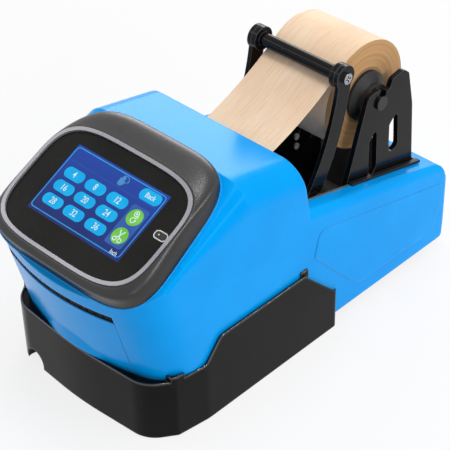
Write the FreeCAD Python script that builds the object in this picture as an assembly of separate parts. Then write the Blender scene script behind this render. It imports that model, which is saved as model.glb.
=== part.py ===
import FreeCAD, Part
import math
import os

V = FreeCAD.Vector

# Gummed tape dispenser, millimetres. X runs across the machine, Y from the front to the back, Z up.
# The drawing datum is the top rear edge of the hood (y = 0) on the middle plane (x = 0), z = 0 at the
# bench. The finished pieces are moved along Y so that the origin is under the middle of the machine.

# ---- housing -------------------------------------------------------------------------------------
half_width = 95.0          # middle plane to the side of the housing
wall = 3.0                 # moulded wall
hood_height = 194.5        # top of the hood at its rear edge
hood_rise = 0.205          # climb of the hood's top towards the screen
hood_back_radius = 25.0    # rounding between top and side at the rear edge
hood_front_radius = 6.0    # the same along the screen
hood_back_lean = 8.0       # the hood's rear face leans back to the tail
screen_tilt = 26.5         # slope of the screen, degrees
front_reach = 173.5        # rear edge to the middle of the front face, at front_level
front_level = 57.0
front_lean = 0.245         # the front face moves forward by this much per mm of height
nose_curve = 2.263158      # radius of the bowed front face, per mm of half_width
nose_sweep = 0.273684      # depth of that bow at the sides, per mm of half_width
corner_radius = 38.0
tail_length = 204.0
tail_height = 145.5        # top of the tail where it meets the hood
tail_slope = 0.25          # fall of the tail's top per mm
tail_edge_radius = 9.0
tail_corner_radius = 9.0
tail_bulge = 66.0          # height at which the rear face stands out most
tail_foot_lean = 7.0       # the rear face draws in by this much at its foot
cover_foot = 12.0          # lower edge of the housing
pad_raise = 0.8            # raised pad on each side of the tail
pad_margin = 12.0

# ---- base tray -----------------------------------------------------------------------------------
tray_skin = 3.5            # the tray stands out from the housing by this much
tray_front = 177.0         # rear edge of the hood to the middle of the tray's front
tray_back = 44.0
tray_low = 60.0            # rim round the front
tray_high = 81.0           # rim along the sides
step_front = 119.0
step_back = 101.0
tray_bottom = 1.0
tray_floor = 4.0
tray_gap = 0.6             # housing to tray
tray_corner_in = 4.5       # crisp front corner, in from the tray's side
tray_corner_back = 150.5
tab_inset = 2.0            # rim tabs stand in from the tray's side
front_tab = 148.0          # rear edge of the hood to the front rim tabs
side_tab = -1.5
scoop_x = -60.0            # finger scoop under the front edge
scoop_radius = 12.5
foot_radius = 9.0
foot_inset = 25.0          # feet, in from the side of the housing

# ---- screen pod ----------------------------------------------------------------------------------
pod_centre = 138.9         # rear edge of the hood to the middle of the display
pod_fall = 4.6             # middle of the display below the hood's rear edge
pod_drop = 17.5            # face of the pod above the hood's slope
pod_margin = 5.0           # side of the housing to the pod's side
pod_half_height = 72.6
pod_offset = 6.7           # middle of the pod up the slope from the display
pod_narrowing = 0.0011     # the pod narrows towards the back
pod_power = 4.5
pod_wall = 3.0
skirt_depth = 9.0          # the pod's foot reaches below the hood's slope
ring_side = 14.1           # side of the housing to the ring's side
ring_half_height = 55.5
ring_offset = -3.2
ring_power = 4.1
ring_width = 3.2
ring_height = 1.2
ring_seat = 1.4            # depth of the ring's groove
glass_thickness = 2.0
glass_drop = 1.0           # glass below the pod's face
lcd_width = 107.5
lcd_height = 67.0
lcd_depth = 6.0
lamp_length = 14.0
lamp_width = 8.4
lamp_side = 10.9           # ring's side to the middle of the lamp
lamp_v = 2.1
fit = 0.1                  # clearance of pieces that lie in a seat

# ---- door and exit slot --------------------------------------------------------------------------
door_side = 23.0           # left side of the housing to the door
door_margin = 2.0          # the door reaches past the tape by this much
door_bottom = 50.0
door_fall = 72.5           # top of the door below the hood's rear edge
door_wall = 2.6
door_gap = 0.7
door_foot_gap = 2.5        # gap under the door, behind the tray's rim
chin_depth = 178.4         # rear edge of the hood to the chin of the door
chin_radius = 105.0
chin_x = -2.0
chin_half = 42.0           # the chin fades out at its ends
chin_height = 20.0
slot_height = 7.5
hinge_back = 160.5
hinge_level = 85.0
hinge_rod_radius = 2.0
running_gap = 0.05         # radial clearance of a shaft in its bore

# ---- tape ----------------------------------------------------------------------------------------
tape_width = 76.0
web_thickness = 0.4
web_gap = 0.35             # tape to anything that turns
roll_radius = 50.5
roll_back = 120.2
roll_level = 190.5
core_radius = 26.0
core_bore = 23.0
path_tilt = 18.0           # fall of the tape path towards the exit
entry_fall = 6.0           # tape path below the hood's rear edge, where it enters
cut_station = 100.0        # along the path from the rear edge to the blades

# ---- basket and side plates ----------------------------------------------------------------------
rim_width = 17.0           # top of the tail, from its side to the basket
basket_front = 9.0
tail_depth = 26.0          # tail behind the basket
basket_floor = 25.0
liner_wall = 2.0
liner_gap = 0.3
strip_front = 80.0
strip_height = 2.5
plate_thickness = 5.0
plate_gap = 13.7           # edge of the tape to the side plate
spindle_radius = 5.0
hub_radius = 15.0
hub_grip = 9.0             # length of the hub inside the core

# ---- guide arm -----------------------------------------------------------------------------------
arm_pivot_back = 38.0
arm_pivot_level = 127.0
bar_bearing = 134.4        # direction from the roll's axis to the bar, degrees
bar_clear = 1.8            # bar to a full roll
bar_radius = 6.2
flange_radius = 11.0
flange_gap = 4.0           # edge of the tape to the bar's flange
flange_thickness = 4.8
arm_gap = 9.3              # edge of the tape to the arm
arm_thickness = 4.0
arm_half_width = 8.0
arm_bow = 7.0
pivot_radius = 4.0
bar_shaft_radius = 3.0
thread_radius = 1.5

# ---- feed, cutter and water ----------------------------------------------------------------------
cheek_gap = 6.5            # edge of the tape to the cheek
cheek_thickness = 2.5
cheek_front = 104.0
cheek_back = 8.0
chassis_thickness = 2.0
feed_station = 48.0
feed_radius = 13.0
feed_shaft_radius = 4.0
pinch_radius = 9.0
pinch_shaft_radius = 3.0
pinch_pivot_station = 22.0
pinch_pivot_height = 8.0
bearing_radius = 9.0
motor_back = 30.0
motor_level = 95.0
motor_size = 56.0
motor_length = 50.0
motor_shaft_radius = 3.0
motor_pulley_radius = 9.0
feed_pulley_radius = 16.0
pulley_width = 9.0
belt_thickness = 2.0
belt_gap = 0.3
spring_wire = 0.8
spring_turns = 3
spring_leg = 7.0
blade_thickness = 2.0
blade_depth = 26.0
blade_rest = 2.5           # moving blade below the tape path at rest
blade_travel = 8.0
plunger_radius = 5.0
plunger_length = 30.0
solenoid_offset = 26.0     # tape middle to the solenoid
solenoid_half = 14.0
solenoid_length = 44.0
tank_left = -45.0
tank_back = 106.0
tank_front = 133.0
tank_nose = 152.0
tank_shelf = 88.0
tank_wall = 2.0
brush_stations = (122.0, 137.0, 152.0)
brush_thickness = 9.0

# ---- power ---------------------------------------------------------------------------------------
inlet_x = -52.0
rocker_x = -16.0
power_level = 44.0
inlet_half_width = 14.0
inlet_half_height = 10.5
rocker_half_width = 10.5
rocker_half_height = 7.0
rocker_pin_radius = 1.2
rocker_pin_depth = 6.5

slope = math.radians(screen_tilt)
fall = math.radians(path_tilt)
nose_radius = nose_curve * half_width
nose_bow = nose_sweep * half_width
pod_level = hood_height - pod_fall
entry_level = hood_height - entry_fall
door_top = hood_height - door_fall
door_left = door_side - half_width
ring_half_width = half_width - ring_side
lamp_u = ring_half_width - lamp_side
basket_half_width = half_width - rim_width
liner_face = basket_half_width - liner_gap - liner_wall
plate_x = liner_face - plate_thickness
half_tape = tape_width / 2
tape_right = plate_x - plate_gap
tape_middle = tape_right - half_tape   # the tape runs to the right of the middle plane
tape_left = tape_middle - half_tape
door_right = tape_right + door_margin
basket_back = tail_length - tail_depth
tray_half_width = half_width + tray_skin
floor_top = cover_foot + chassis_thickness
cheek_x = tape_right + cheek_gap
left_cheek_x = 2 * tape_middle - cheek_x
arm_x = tape_right + arm_gap
far = 500.0                # reach of cutting solids, beyond any face


# ---- helpers -------------------------------------------------------------------------------------
def box(x0, x1, y0, y1, z0, z1):
    return Part.makeBox(x1 - x0, y1 - y0, z1 - z0, V(x0, y0, z0))


def rod(x0, x1, y, z, radius):
    """Round bar along X."""
    return Part.makeCylinder(radius, x1 - x0, V(x0, y, z), V(1, 0, 0))


def sleeve(x0, x1, y, z, outer, inner):
    return rod(x0, x1, y, z, outer).cut(rod(x0 - 1, x1 + 1, y, z, inner))


def post(x, y, z0, z1, radius):
    """Round bar along Z."""
    return Part.makeCylinder(radius, z1 - z0, V(x, y, z0))


def outline(corners, at):
    """Closed wire through (a, b, radius) corners, each one rounded by its own radius."""
    rounded = []
    for i, (a, b, radius) in enumerate(corners):
        here = V(a, b, 0)
        back = V(corners[i - 1][0], corners[i - 1][1], 0) - here
        ahead = V(corners[(i + 1) % len(corners)][0], corners[(i + 1) % len(corners)][1], 0) - here
        back.normalize()
        ahead.normalize()
        if radius <= 0:
            rounded.append((here, None, here))
            continue
        half = back.getAngle(ahead) / 2
        reach = radius / math.tan(half)
        deep = here + (back + ahead).normalize() * (radius / math.sin(half) - radius)
        rounded.append((here + back * reach, deep, here + ahead * reach))
    edges = []
    for i, (first, deep, last) in enumerate(rounded):
        start = rounded[i - 1][2]
        if start.distanceToPoint(first) > 1e-4:
            edges.append(Part.makeLine(at(start.x, start.y), at(first.x, first.y)))
        if deep is not None:
            edges.append(Part.Arc(at(first.x, first.y), at(deep.x, deep.y), at(last.x, last.y)).toShape())
    return Part.Wire(edges)


def side_prism(corners, x0, x1):
    """Outline in Y and Z, carried from x0 to x1."""
    wire = outline(corners, lambda y, z: V(x0, y, z))
    return Part.Face(wire).extrude(V(x1 - x0, 0, 0))


def plan_prism(corners, z0, z1):
    wire = outline(corners, lambda x, y: V(x, y, z0))
    return Part.Face(wire).extrude(V(0, 0, z1 - z0))


def path(station, height):
    """Y and Z of a point on the tape path: station from the hood's rear edge, height above the tape."""
    y = -station * math.cos(fall) - height * math.sin(fall)
    z = entry_level - station * math.sin(fall) + height * math.cos(fall)
    return y, z


path_up = V(0, -math.sin(fall), math.cos(fall))


def path_prism(s0, s1, h0, h1, x0, x1):
    corners = [path(s0, h0) + (0,), path(s1, h0) + (0,), path(s1, h1) + (0,), path(s0, h1) + (0,)]
    return side_prism(corners, x0, x1)


def screen(u, v, h):
    """Point on the screen's plane: u across, v up the slope, h above it."""
    y = -pod_centre + v * math.cos(slope) - h * math.sin(slope)
    z = pod_level + v * math.sin(slope) + h * math.cos(slope)
    return V(u, y, z)


screen_up = screen(0, 0, 1) - screen(0, 0, 0)


def screen_prism(half_u, half_v, radius, h0, h1, u=0.0, v=0.0):
    """Rounded rectangle on the screen's plane, carried from h0 to h1."""
    corners = [(u - half_u, v - half_v, radius), (u + half_u, v - half_v, radius),
               (u + half_u, v + half_v, radius), (u - half_u, v + half_v, radius)]
    wire = outline(corners, lambda a, b: screen(a, b, h0))
    return Part.Face(wire).extrude(screen_up * (h1 - h0))


def screen_loop(half_u, half_v, offset, power, narrowing, h):
    """Soft-cornered closed curve on the screen's plane."""
    points = []
    steps = 56
    for i in range(steps):
        turn = 2 * math.pi * (i + 0.5) / steps
        across = math.cos(turn)
        up = math.sin(turn)
        size = (abs(across) ** power + abs(up) ** power) ** (-1 / power)
        v = half_v * size * up
        points.append(screen(half_u * size * across * (1 - narrowing * (v + half_v / 2)), v + offset, h))
    curve = Part.BSplineCurve()
    curve.interpolate(points, PeriodicFlag=True)
    return Part.Wire([curve.toShape()])


def ring_loop(grow, h):
    return screen_loop(ring_half_width + grow, ring_half_height + grow, ring_offset, ring_power, 0, h)


def ring_prism(grow, h0, h1):
    return Part.Face(ring_loop(grow, h0)).extrude(screen_up * (h1 - h0))


def both_sides(shape):
    return shape.mirror(V(0, 0, 0), V(1, 0, 0))


def opposite(shape):
    """The same piece on the other side of the tape."""
    return shape.mirror(V(tape_middle, 0, 0), V(1, 0, 0))


def wrap_round(y0, z0, r0, y1, z1, r1, x0, x1):
    """Solid whose outline goes round two circles, carried from x0 to x1."""
    heading = math.atan2(z1 - z0, y1 - y0)
    spread = math.acos((r0 - r1) / math.hypot(y1 - y0, z1 - z0))

    def at(y, z, radius, angle):
        return V(x0, y + radius * math.cos(angle), z + radius * math.sin(angle))

    upper0 = at(y0, z0, r0, heading + spread)
    upper1 = at(y1, z1, r1, heading + spread)
    lower0 = at(y0, z0, r0, heading - spread)
    lower1 = at(y1, z1, r1, heading - spread)
    edges = [
        Part.makeLine(upper0, upper1),
        Part.Arc(upper1, at(y1, z1, r1, heading), lower1).toShape(),
        Part.makeLine(lower1, lower0),
        Part.Arc(lower0, at(y0, z0, r0, heading + math.pi), upper0).toShape(),
    ]
    return Part.Face(Part.Wire(edges)).extrude(V(x1 - x0, 0, 0))


def pan_screw(start, direction, head_radius, head_height, shank_radius, length):
    """Pan head on the surface at start, its shank going in along -direction."""
    head = Part.makeCylinder(head_radius, head_height, start, direction)
    shank = Part.makeCylinder(shank_radius, length, start - direction * length, direction)
    screw = head.fuse(shank)
    half_slot = head_radius * 0.65
    half_blade = head_radius * 0.15
    for turn in (0, 90):
        foot = V(-half_slot, -half_blade, head_height / 2)
        slot = Part.makeBox(2 * half_slot, 2 * half_blade, head_height, foot)
        slot.rotate(V(0, 0, 0), V(0, 0, 1), turn)
        slot.rotate(V(0, 0, 0), V(0, 1, 0), 90 if direction.x > 0 else -90)
        slot.translate(start)
        screw = screw.cut(slot)
    return screw


nodes = {}


def keep(name, *shapes):
    nodes[name] = shapes[0] if len(shapes) == 1 else Part.makeCompound(list(shapes))


# ---- housing -------------------------------------------------------------------------------------
def front_face(z):
    return -(front_reach + front_lean * (z - front_level))


def tail_face(z):
    """Rear face of the tail at a height below its bulge."""
    return tail_length - tail_foot_lean * (tail_bulge - z) / (tail_bulge - cover_foot)


def slope_top(y, inset):
    """Height of the hood's slope under the screen."""
    return pod_level - (pod_drop + inset) / math.cos(slope) + (y + pod_centre) * math.tan(slope)


def back_top(y, inset):
    """Height of the hood's top behind the screen."""
    return hood_height - inset / math.cos(math.atan(hood_rise)) - hood_rise * y


def crest(inset):
    """Where the hood's top meets its slope."""
    return (back_top(0, inset) - slope_top(0, inset)) / (math.tan(slope) + hood_rise)


def nose_prism(inset, z0, z1):
    """Plan of the housing, leaning with the front face."""
    tip = front_face(z0) - nose_radius * (1 / math.cos(math.atan(nose_bow / half_width)) - 1)
    corners = [
        (half_width, tip + nose_bow, corner_radius),
        (half_width, far, 0),
        (-half_width, far, 0),
        (-half_width, tip + nose_bow, corner_radius),
        (0, tip, nose_radius),
    ]
    face = Part.Face(outline(corners, lambda x, y: V(x, y, z0)))
    if inset:
        face = face.makeOffset2D(-inset)
    return face.extrude(V(0, -front_lean * (z1 - z0), z1 - z0))


def hood_section(y, top, edge, inset):
    reach = half_width - inset
    corners = [(-reach, -10, 0), (-reach, top, edge - inset), (reach, top, edge - inset), (reach, -10, 0)]
    return outline(corners, lambda x, z: V(x, y, z))


def hood_shape(inset, z0):
    top_y = crest(inset)
    half_way = top_y - pod_half_height
    front = top_y - 2 * pod_half_height - corner_radius
    sections = [
        hood_section(hood_back_lean + 2, back_top(hood_back_lean + 2, inset), hood_back_radius, inset),
        hood_section(top_y, back_top(top_y, inset), hood_back_radius, inset),
        hood_section(half_way, slope_top(half_way, inset), hood_front_radius, inset),
        hood_section(front, slope_top(front, inset), hood_front_radius, inset),
    ]
    whole = Part.makeLoft(sections, True, True)
    heel = hood_back_lean - inset
    back = side_prism([(-far, z0, 0), (heel, z0, 0), (heel, tail_height, 0), (-inset, back_top(0, inset), 0),
                       (-inset, far, 0), (-far, far, 0)], -far, far)
    return whole.common(back)


def tail_shape(inset, z0):
    reach = half_width - inset
    edge = max(tail_edge_radius - inset, 2)
    end = tail_length - inset
    start = [(-reach, -far, 0), (-reach, tail_height - inset, edge), (reach, tail_height - inset, edge),
             (reach, -far, 0)]
    wire = outline(start, lambda x, z: V(x, 0, z))
    bar = Part.Face(wire).extrude(V(0, tail_length, -tail_length * tail_slope))
    plan = plan_prism([(-reach, -1, 0), (reach, -1, 0), (reach, end, tail_corner_radius - inset),
                       (-reach, end, tail_corner_radius - inset)], z0, tail_height)
    end_top = tail_height - inset - end * tail_slope
    profile = side_prism([(-1, z0, 0), (tail_face(z0) - inset, z0, 5), (end, tail_bulge, 14),
                          (end - 13, end_top + 2, 12), (-1, tail_height + 2, 0)], -far, far)
    return bar.common(plan).common(profile)


def housing(inset, z0):
    return hood_shape(inset, z0).common(nose_prism(inset, z0, far)).fuse(tail_shape(inset, z0))


def door_opening(side_gap, foot_gap):
    """Space of the door, through the front wall."""
    return box(door_left - side_gap, door_right + side_gap, -far, front_face(door_bottom) + corner_radius,
               door_bottom - foot_gap, door_top + side_gap)


def make_cover():
    pad_back = tail_length - pad_margin
    pad_top = tail_height - pad_margin
    pad = side_prism([(22, pad_top - 15.5, 9), (pad_back, pad_top - 57.5, 6), (pad_back, 55, 16),
                      (pad_back - 11, 28, 7), (74, 28, 9), (15, 92, 6)],
                     half_width - 1, half_width + pad_raise)
    cover = housing(0, cover_foot).fuse(pad).fuse(both_sides(pad)).cut(housing(wall, cover_foot - 1))
    basket = box(-basket_half_width, basket_half_width, basket_front, basket_back, basket_floor + 40, far)
    cover = cover.cut(basket).cut(door_opening(door_gap, door_foot_gap))
    slot_low = door_top + door_gap / 2
    slot = box(door_left, door_right, -far, front_face(door_bottom) + corner_radius, slot_low,
               slot_low + slot_height)
    mouth = 6.0
    entry = box(tape_left - mouth, tape_right + mouth, -wall - 12, basket_front + 20, entry_level - 22,
                hood_height - wall - 0.6)
    cable_hole = screen_prism(50, 30, 6, -pod_drop - wall - 5, -pod_drop + 4)
    sockets = box(inlet_x - inlet_half_width, inlet_x + inlet_half_width, basket_back + 4, far,
                  power_level - inlet_half_height, power_level + inlet_half_height)
    switch = box(rocker_x - rocker_half_width, rocker_x + rocker_half_width, basket_back + 4, far,
                 power_level - rocker_half_height, power_level + rocker_half_height)
    return cover.cut(slot).cut(entry).cut(cable_hole).cut(sockets).cut(switch)


keep("main_cover", make_cover())


# ---- base tray -----------------------------------------------------------------------------------
def make_tray():
    corner = tray_half_width - tray_corner_in
    cheek = corner - 16
    plan = [
        (tray_half_width, tray_back, 5),
        (-tray_half_width, tray_back, 5),
        (-tray_half_width, -step_front, 30),
        (-corner, -tray_corner_back, 5),
        (-cheek, -tray_front + 4, 28),
        (0, -tray_front - 1.5, 340),
        (cheek, -tray_front + 4, 28),
        (corner, -tray_corner_back, 5),
        (tray_half_width, -step_front, 30),
    ]
    side = [
        (-far, tray_bottom, 0),
        (-far, tray_low, 0),
        (-step_front, tray_low, 9),
        (-step_back, tray_high, 9),
        (1, tray_high, 4),
        (tray_back - 3, tray_back - 3, 3),
        (far, tray_back - 3, 0),
        (far, tray_bottom, 0),
    ]
    tray = plan_prism(plan, tray_bottom, tray_high).common(side_prism(side, -far, far))
    for x, tab_y, half_tab, rim in ((half_width - 12, front_tab, 6, tray_low),
                                    (half_width - 2, side_tab, 4.5, tray_high)):
        tab = box(x, tray_half_width - tab_inset, -tab_y - half_tab, half_tab - tab_y, rim - 6, rim + 4.5)
        tab = tab.common(plan_prism(plan, 0, far))
        tray = tray.fuse(tab).fuse(both_sides(tab))
    tray = tray.cut(nose_prism(-tray_gap, tray_bottom + tray_floor, tray_high + 20))
    boss_x = half_width - foot_inset * 1.4
    for x in (-boss_x, boss_x):
        for y in (-step_front, tray_back - foot_inset):
            tray = tray.fuse(post(x, y, tray_bottom + tray_floor - 1, cover_foot, 6))
    scoop_y = -tray_front + 8
    scoop = Part.makeSphere(scoop_radius, V(scoop_x, scoop_y, 5))
    return tray.cut(scoop.fuse(post(scoop_x, scoop_y, -10, 5, scoop_radius)))


keep("base_tray", make_tray())
foot_x = half_width - foot_inset
front_foot = -step_front - 8
rear_foot = tail_length - 34
keep("rubber_feet", *[post(x, y, 0, top, foot_radius) for x in (-foot_x, foot_x)
                      for y, top in ((front_foot, tray_bottom), (rear_foot, cover_foot))])
chassis_band = box(-far, far, -far, far, cover_foot, floor_top)
keep("chassis_plate", housing(wall + 0.5, cover_foot).common(chassis_band))


# ---- door ----------------------------------------------------------------------------------------
hinge_y = -hinge_back


def swing_room():
    """Turned solid that clears the tray's rim while the door swings."""
    ends = []
    for x in (chin_x - chin_half, 0, chin_x + chin_half):
        sag = x * x / (2 * nose_radius)
        across = hinge_y - front_face(tray_low) + tray_gap - sag
        ends.append(V(x, hinge_y - math.hypot(across, hinge_level - tray_low) + 0.5, hinge_level))
    axis_ends = [V(end.x, hinge_y, hinge_level) for end in (ends[2], ends[0])]
    wire = Part.Wire([Part.Arc(*ends).toShape(), Part.makeLine(ends[2], axis_ends[0]),
                      Part.makeLine(axis_ends[0], axis_ends[1]), Part.makeLine(axis_ends[1], ends[0])])
    return Part.Face(wire).revolve(V(0, hinge_y, hinge_level), V(1, 0, 0), 360)


def make_door():
    front = hood_shape(0, door_bottom).common(nose_prism(0, door_bottom, far))
    opening = door_opening(0, 0)
    door = front.common(opening).cut(nose_prism(door_wall, door_bottom - 5, far))
    chin = post(chin_x, -chin_depth + chin_radius, tray_low, tray_low + chin_height, chin_radius)
    chin = chin.common(swing_room()).common(opening).cut(nose_prism(1, door_bottom - 5, far))
    lip = front.common(box(door_left, door_right, -far, 0, door_top - 3, door_top))
    lip = lip.cut(nose_prism(door_wall + 5, door_top - 10, far))
    door = door.fuse(chin).fuse(lip)
    inside = nose_prism(door_wall - 0.5, door_bottom, far)
    inside = inside.common(box(-far, far, -far, far, door_bottom + 2, hinge_level + 14))
    for x in (door_left + 16, (door_left + door_right) / 2, door_right - 16):
        lug = side_prism([(hinge_y + 4.5, hinge_level - 4.5, 4), (hinge_y + 4.5, hinge_level + 4.5, 4),
                          (-far, hinge_level + 60, 0), (-far, hinge_level - 60, 0)], x - 3, x + 3)
        door = door.fuse(lug.common(inside))
    return door.cut(rod(door_left - 5, door_right + 5, hinge_y, hinge_level, hinge_rod_radius + running_gap))


keep("front_door", make_door())
bracket_thickness = 2.5
bracket_gap = 1.5
bracket_room = nose_prism(wall + 0.3, cover_foot, far)
brackets = []
for x in (door_left - bracket_gap - bracket_thickness, door_right + bracket_gap):
    bracket = side_prism([(hinge_y + 18, floor_top, 0), (hinge_y + 36, floor_top, 0),
                          (hinge_y + 6, hinge_level + 5, 4), (hinge_y - 4, hinge_level + 5, 3)],
                         x, x + bracket_thickness).common(bracket_room)
    brackets.append(bracket.cut(rod(-far, far, hinge_y, hinge_level, hinge_rod_radius)))
keep("door_brackets", *brackets)
hinge_reach = bracket_gap + bracket_thickness
keep("door_hinge_rod", rod(door_left - hinge_reach, door_right + hinge_reach, hinge_y, hinge_level,
                           hinge_rod_radius))


# ---- screen pod ----------------------------------------------------------------------------------
def pod_loop(shrink, h):
    return screen_loop(half_width - pod_margin - shrink, pod_half_height - shrink, pod_offset, pod_power,
                       pod_narrowing, h)


def make_pod():
    shoulder = screen_loop(ring_half_width + 5.0, ring_half_height + 8.5, ring_offset + 2.4,
                           (ring_power + pod_power) / 2, pod_narrowing / 2, -3)
    outer = Part.makeLoft([pod_loop(0, -pod_drop), pod_loop(1.2, 8 - pod_drop), shoulder, ring_loop(1.2, 0)],
                          True)
    skirt = Part.Face(pod_loop(0, -pod_drop - skirt_depth)).extrude(screen_up * (skirt_depth + 0.5))
    outer = outer.fuse(skirt.common(nose_prism(1, door_bottom, far)))
    inner = Part.makeLoft([pod_loop(pod_wall, -pod_drop - skirt_depth - 1), pod_loop(pod_wall, -pod_drop),
                           pod_loop(pod_wall + 2, 6 - pod_drop), ring_loop(-1, -5)], True)
    pod = outer.cut(inner).cut(hood_shape(0, cover_foot))
    return pod.cut(ring_prism(-ring_width, -6, 5)).cut(ring_prism(0, -ring_seat, 5))


keep("screen_bezel", make_pod())
trim = ring_prism(-fit, -ring_seat, ring_height).cut(ring_prism(-ring_width, -ring_seat - 1, ring_height + 1))
keep("trim_ring", trim)
glass_low = -glass_drop - glass_thickness
lamp = screen_prism(lamp_length / 2, lamp_width / 2, lamp_width / 2 - fit, glass_low - 2, 0.3 - glass_drop,
                    lamp_u, lamp_v)
keep("status_lamp", lamp)
glass = ring_prism(-ring_width - fit, glass_low, -glass_drop).cut(lamp)
keep("touch_glass", glass.cut(screen_prism(lcd_width / 2, lcd_height / 2, 1, -9, 3)))
lcd_flange = 4.0
lcd = screen_prism(lcd_width / 2, lcd_height / 2, 1, glass_low - 1, -glass_drop - 0.2)
lcd = lcd.fuse(screen_prism(lcd_width / 2 + lcd_flange, lcd_height / 2 + lcd_flange, 2, glass_low - lcd_depth,
                            glass_low))
keep("display_module", lcd)
board_h = -pod_drop - wall - 6
board_half = 62.0
board = screen_prism(board_half, 29, 1, board_h, board_h + 1.6, 0, 15)
spacers = [Part.makeCylinder(3, -pod_drop - wall - board_h - 1.6, screen(u, v, board_h + 1.6), screen_up)
           for u in (7 - board_half, board_half - 7) for v in (-8, 38)]
keep("control_board", board, *spacers)


# ---- basket --------------------------------------------------------------------------------------
def tail_top(y):
    return tail_height - tail_slope * y


def make_liner():
    side = basket_half_width - liner_gap
    front = basket_front + liner_gap
    back = basket_back - liner_gap
    below_rim = side_prism([(0, 0, 0), (0, tail_top(0), 0), (tail_length, tail_top(tail_length), 0),
                            (tail_length, 0, 0)], -far, far)
    liner = box(-side, side, front, back, basket_floor, far).common(below_rim)
    return liner.cut(box(liner_wall - side, side - liner_wall, front + liner_wall, back - liner_wall,
                         basket_floor + liner_wall, far))


keep("basket_liner", make_liner())
strip_back = basket_back - 3
strip = side_prism([(strip_front, tail_top(strip_front), 0), (strip_back, tail_top(strip_back), 0),
                    (strip_back, tail_top(strip_back) + strip_height, 0),
                    (strip_front, tail_top(strip_front) + strip_height, 0)],
                   basket_half_width - 1.5, basket_half_width + 3)
keep("rim_strips", strip, both_sides(strip))
plate_foot = basket_floor + liner_wall


# ---- side plates ---------------------------------------------------------------------------------
def make_plate():
    lug = 9.0
    inside = plate_x - 1
    outside = plate_x + plate_thickness + 1
    seat = spindle_radius + running_gap
    top = roll_level + 13
    corners = [
        (arm_pivot_back - lug, plate_foot, 0),
        (arm_pivot_back - lug, arm_pivot_level + lug, lug - 1),
        (arm_pivot_back + lug, arm_pivot_level + lug, lug - 1),
        (arm_pivot_back + lug + 7, arm_pivot_level - 21, 9),
        (roll_back - 48, arm_pivot_level - 21, 9),
        (roll_back - 16, top, 8),
        (roll_back + 4, top, 4),
        (roll_back + 11, roll_level + 6, 3),
        (roll_back + 16, top + 3, 3),
        (roll_back + 31, top + 6, 5),
        (roll_back + 38, top, 5),
        (roll_back + 45, roll_level - 22, 40),
        (roll_back + 48.5, plate_foot + 82, 6),
        (roll_back + 48.5, plate_foot, 0),
    ]
    plate = side_prism(corners, plate_x, plate_x + plate_thickness)
    window_low = roll_level - 78
    front_window = [(roll_back - 13, window_low, 4), (roll_back - 13, window_low + 43, 3),
                    (roll_back - 3, window_low + 55, 3), (roll_back - 2, window_low + 12, 4)]
    back_window = [(roll_back + 14.5, window_low + 16, 5), (roll_back + 14, window_low + 48, 4),
                   (roll_back + 25, window_low + 59, 3), (roll_back + 27, window_low + 20, 5)]
    mouth = V(0, 7, 20)
    lean = math.atan2(mouth.z, mouth.y)
    across = V(0, seat * math.sin(lean), -seat * math.cos(lean))
    low = V(inside, roll_back, roll_level)
    ends = [low + across, low + mouth + across, low + mouth - across, low - across]
    notch = Part.Face(Part.makePolygon(ends + [ends[0]])).extrude(V(outside - inside, 0, 0))
    notch = notch.fuse(rod(inside, outside, roll_back, roll_level, seat))
    for window in (front_window, back_window):
        plate = plate.cut(side_prism(window, inside, outside))
    plate = plate.cut(notch).cut(rod(inside, outside, arm_pivot_back, arm_pivot_level, pivot_radius))
    square_low = roll_level - 90
    square = box(inside, outside, roll_back + 16, roll_back + 19.5, square_low, square_low + 4)
    slot_low = roll_level - 102
    slot = wrap_round(roll_back + 34, slot_low, 1.2, roll_back + 37, slot_low + 3, 1.2, inside, outside)
    return plate.cut(square).cut(slot)


side_plate = make_plate()
screw_places = ((roll_back + 12.5, roll_level - 92), (roll_back + 12.5, roll_level - 102.5),
                (arm_pivot_back, arm_pivot_level - 40))
screws = []
for place in screw_places:
    screw = pan_screw(V(plate_x, *place), V(-1, 0, 0), 3.2, 1.6, thread_radius, plate_thickness - 0.5)
    side_plate = side_plate.cut(rod(plate_x - 1, plate_x + plate_thickness + 1, *place, thread_radius))
    screws.append(screw)
    screws.append(opposite(screw))
keep("right_side_plate", side_plate)
keep("left_side_plate", opposite(side_plate))
keep("plate_screws", *screws)

# ---- guide arm -----------------------------------------------------------------------------------
bar_distance = roll_radius + bar_radius + bar_clear
bar_back = roll_back + bar_distance * math.cos(math.radians(bar_bearing))
bar_level = roll_level + bar_distance * math.sin(math.radians(bar_bearing))


def make_arm():
    foot = V(arm_x, arm_pivot_back, arm_pivot_level)
    head = V(arm_x, bar_back, bar_level)
    along = head - foot
    back = V(0, along.z, -along.y).normalize()
    middle = foot + along * 0.42 + back * arm_bow
    front = [point - back * arm_half_width for point in (foot, middle, head)]
    rear = [point + back * arm_half_width for point in (foot, middle, head)]
    wire = Part.Wire([Part.Arc(*front).toShape(), Part.makeLine(front[2], rear[2]),
                      Part.Arc(rear[2], rear[1], rear[0]).toShape(), Part.makeLine(rear[0], front[0])])
    arm = Part.Face(wire).extrude(V(arm_thickness, 0, 0))
    end = arm_x + arm_thickness
    arm = arm.fuse(rod(arm_x, end, arm_pivot_back, arm_pivot_level, arm_half_width))
    arm = arm.fuse(rod(arm_x, end, bar_back, bar_level, flange_radius))
    arm = arm.cut(rod(arm_x - 1, end + 1, arm_pivot_back, arm_pivot_level, pivot_radius + running_gap))
    return arm.cut(rod(arm_x - 1, end + 1, bar_back, bar_level, bar_shaft_radius))


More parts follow.
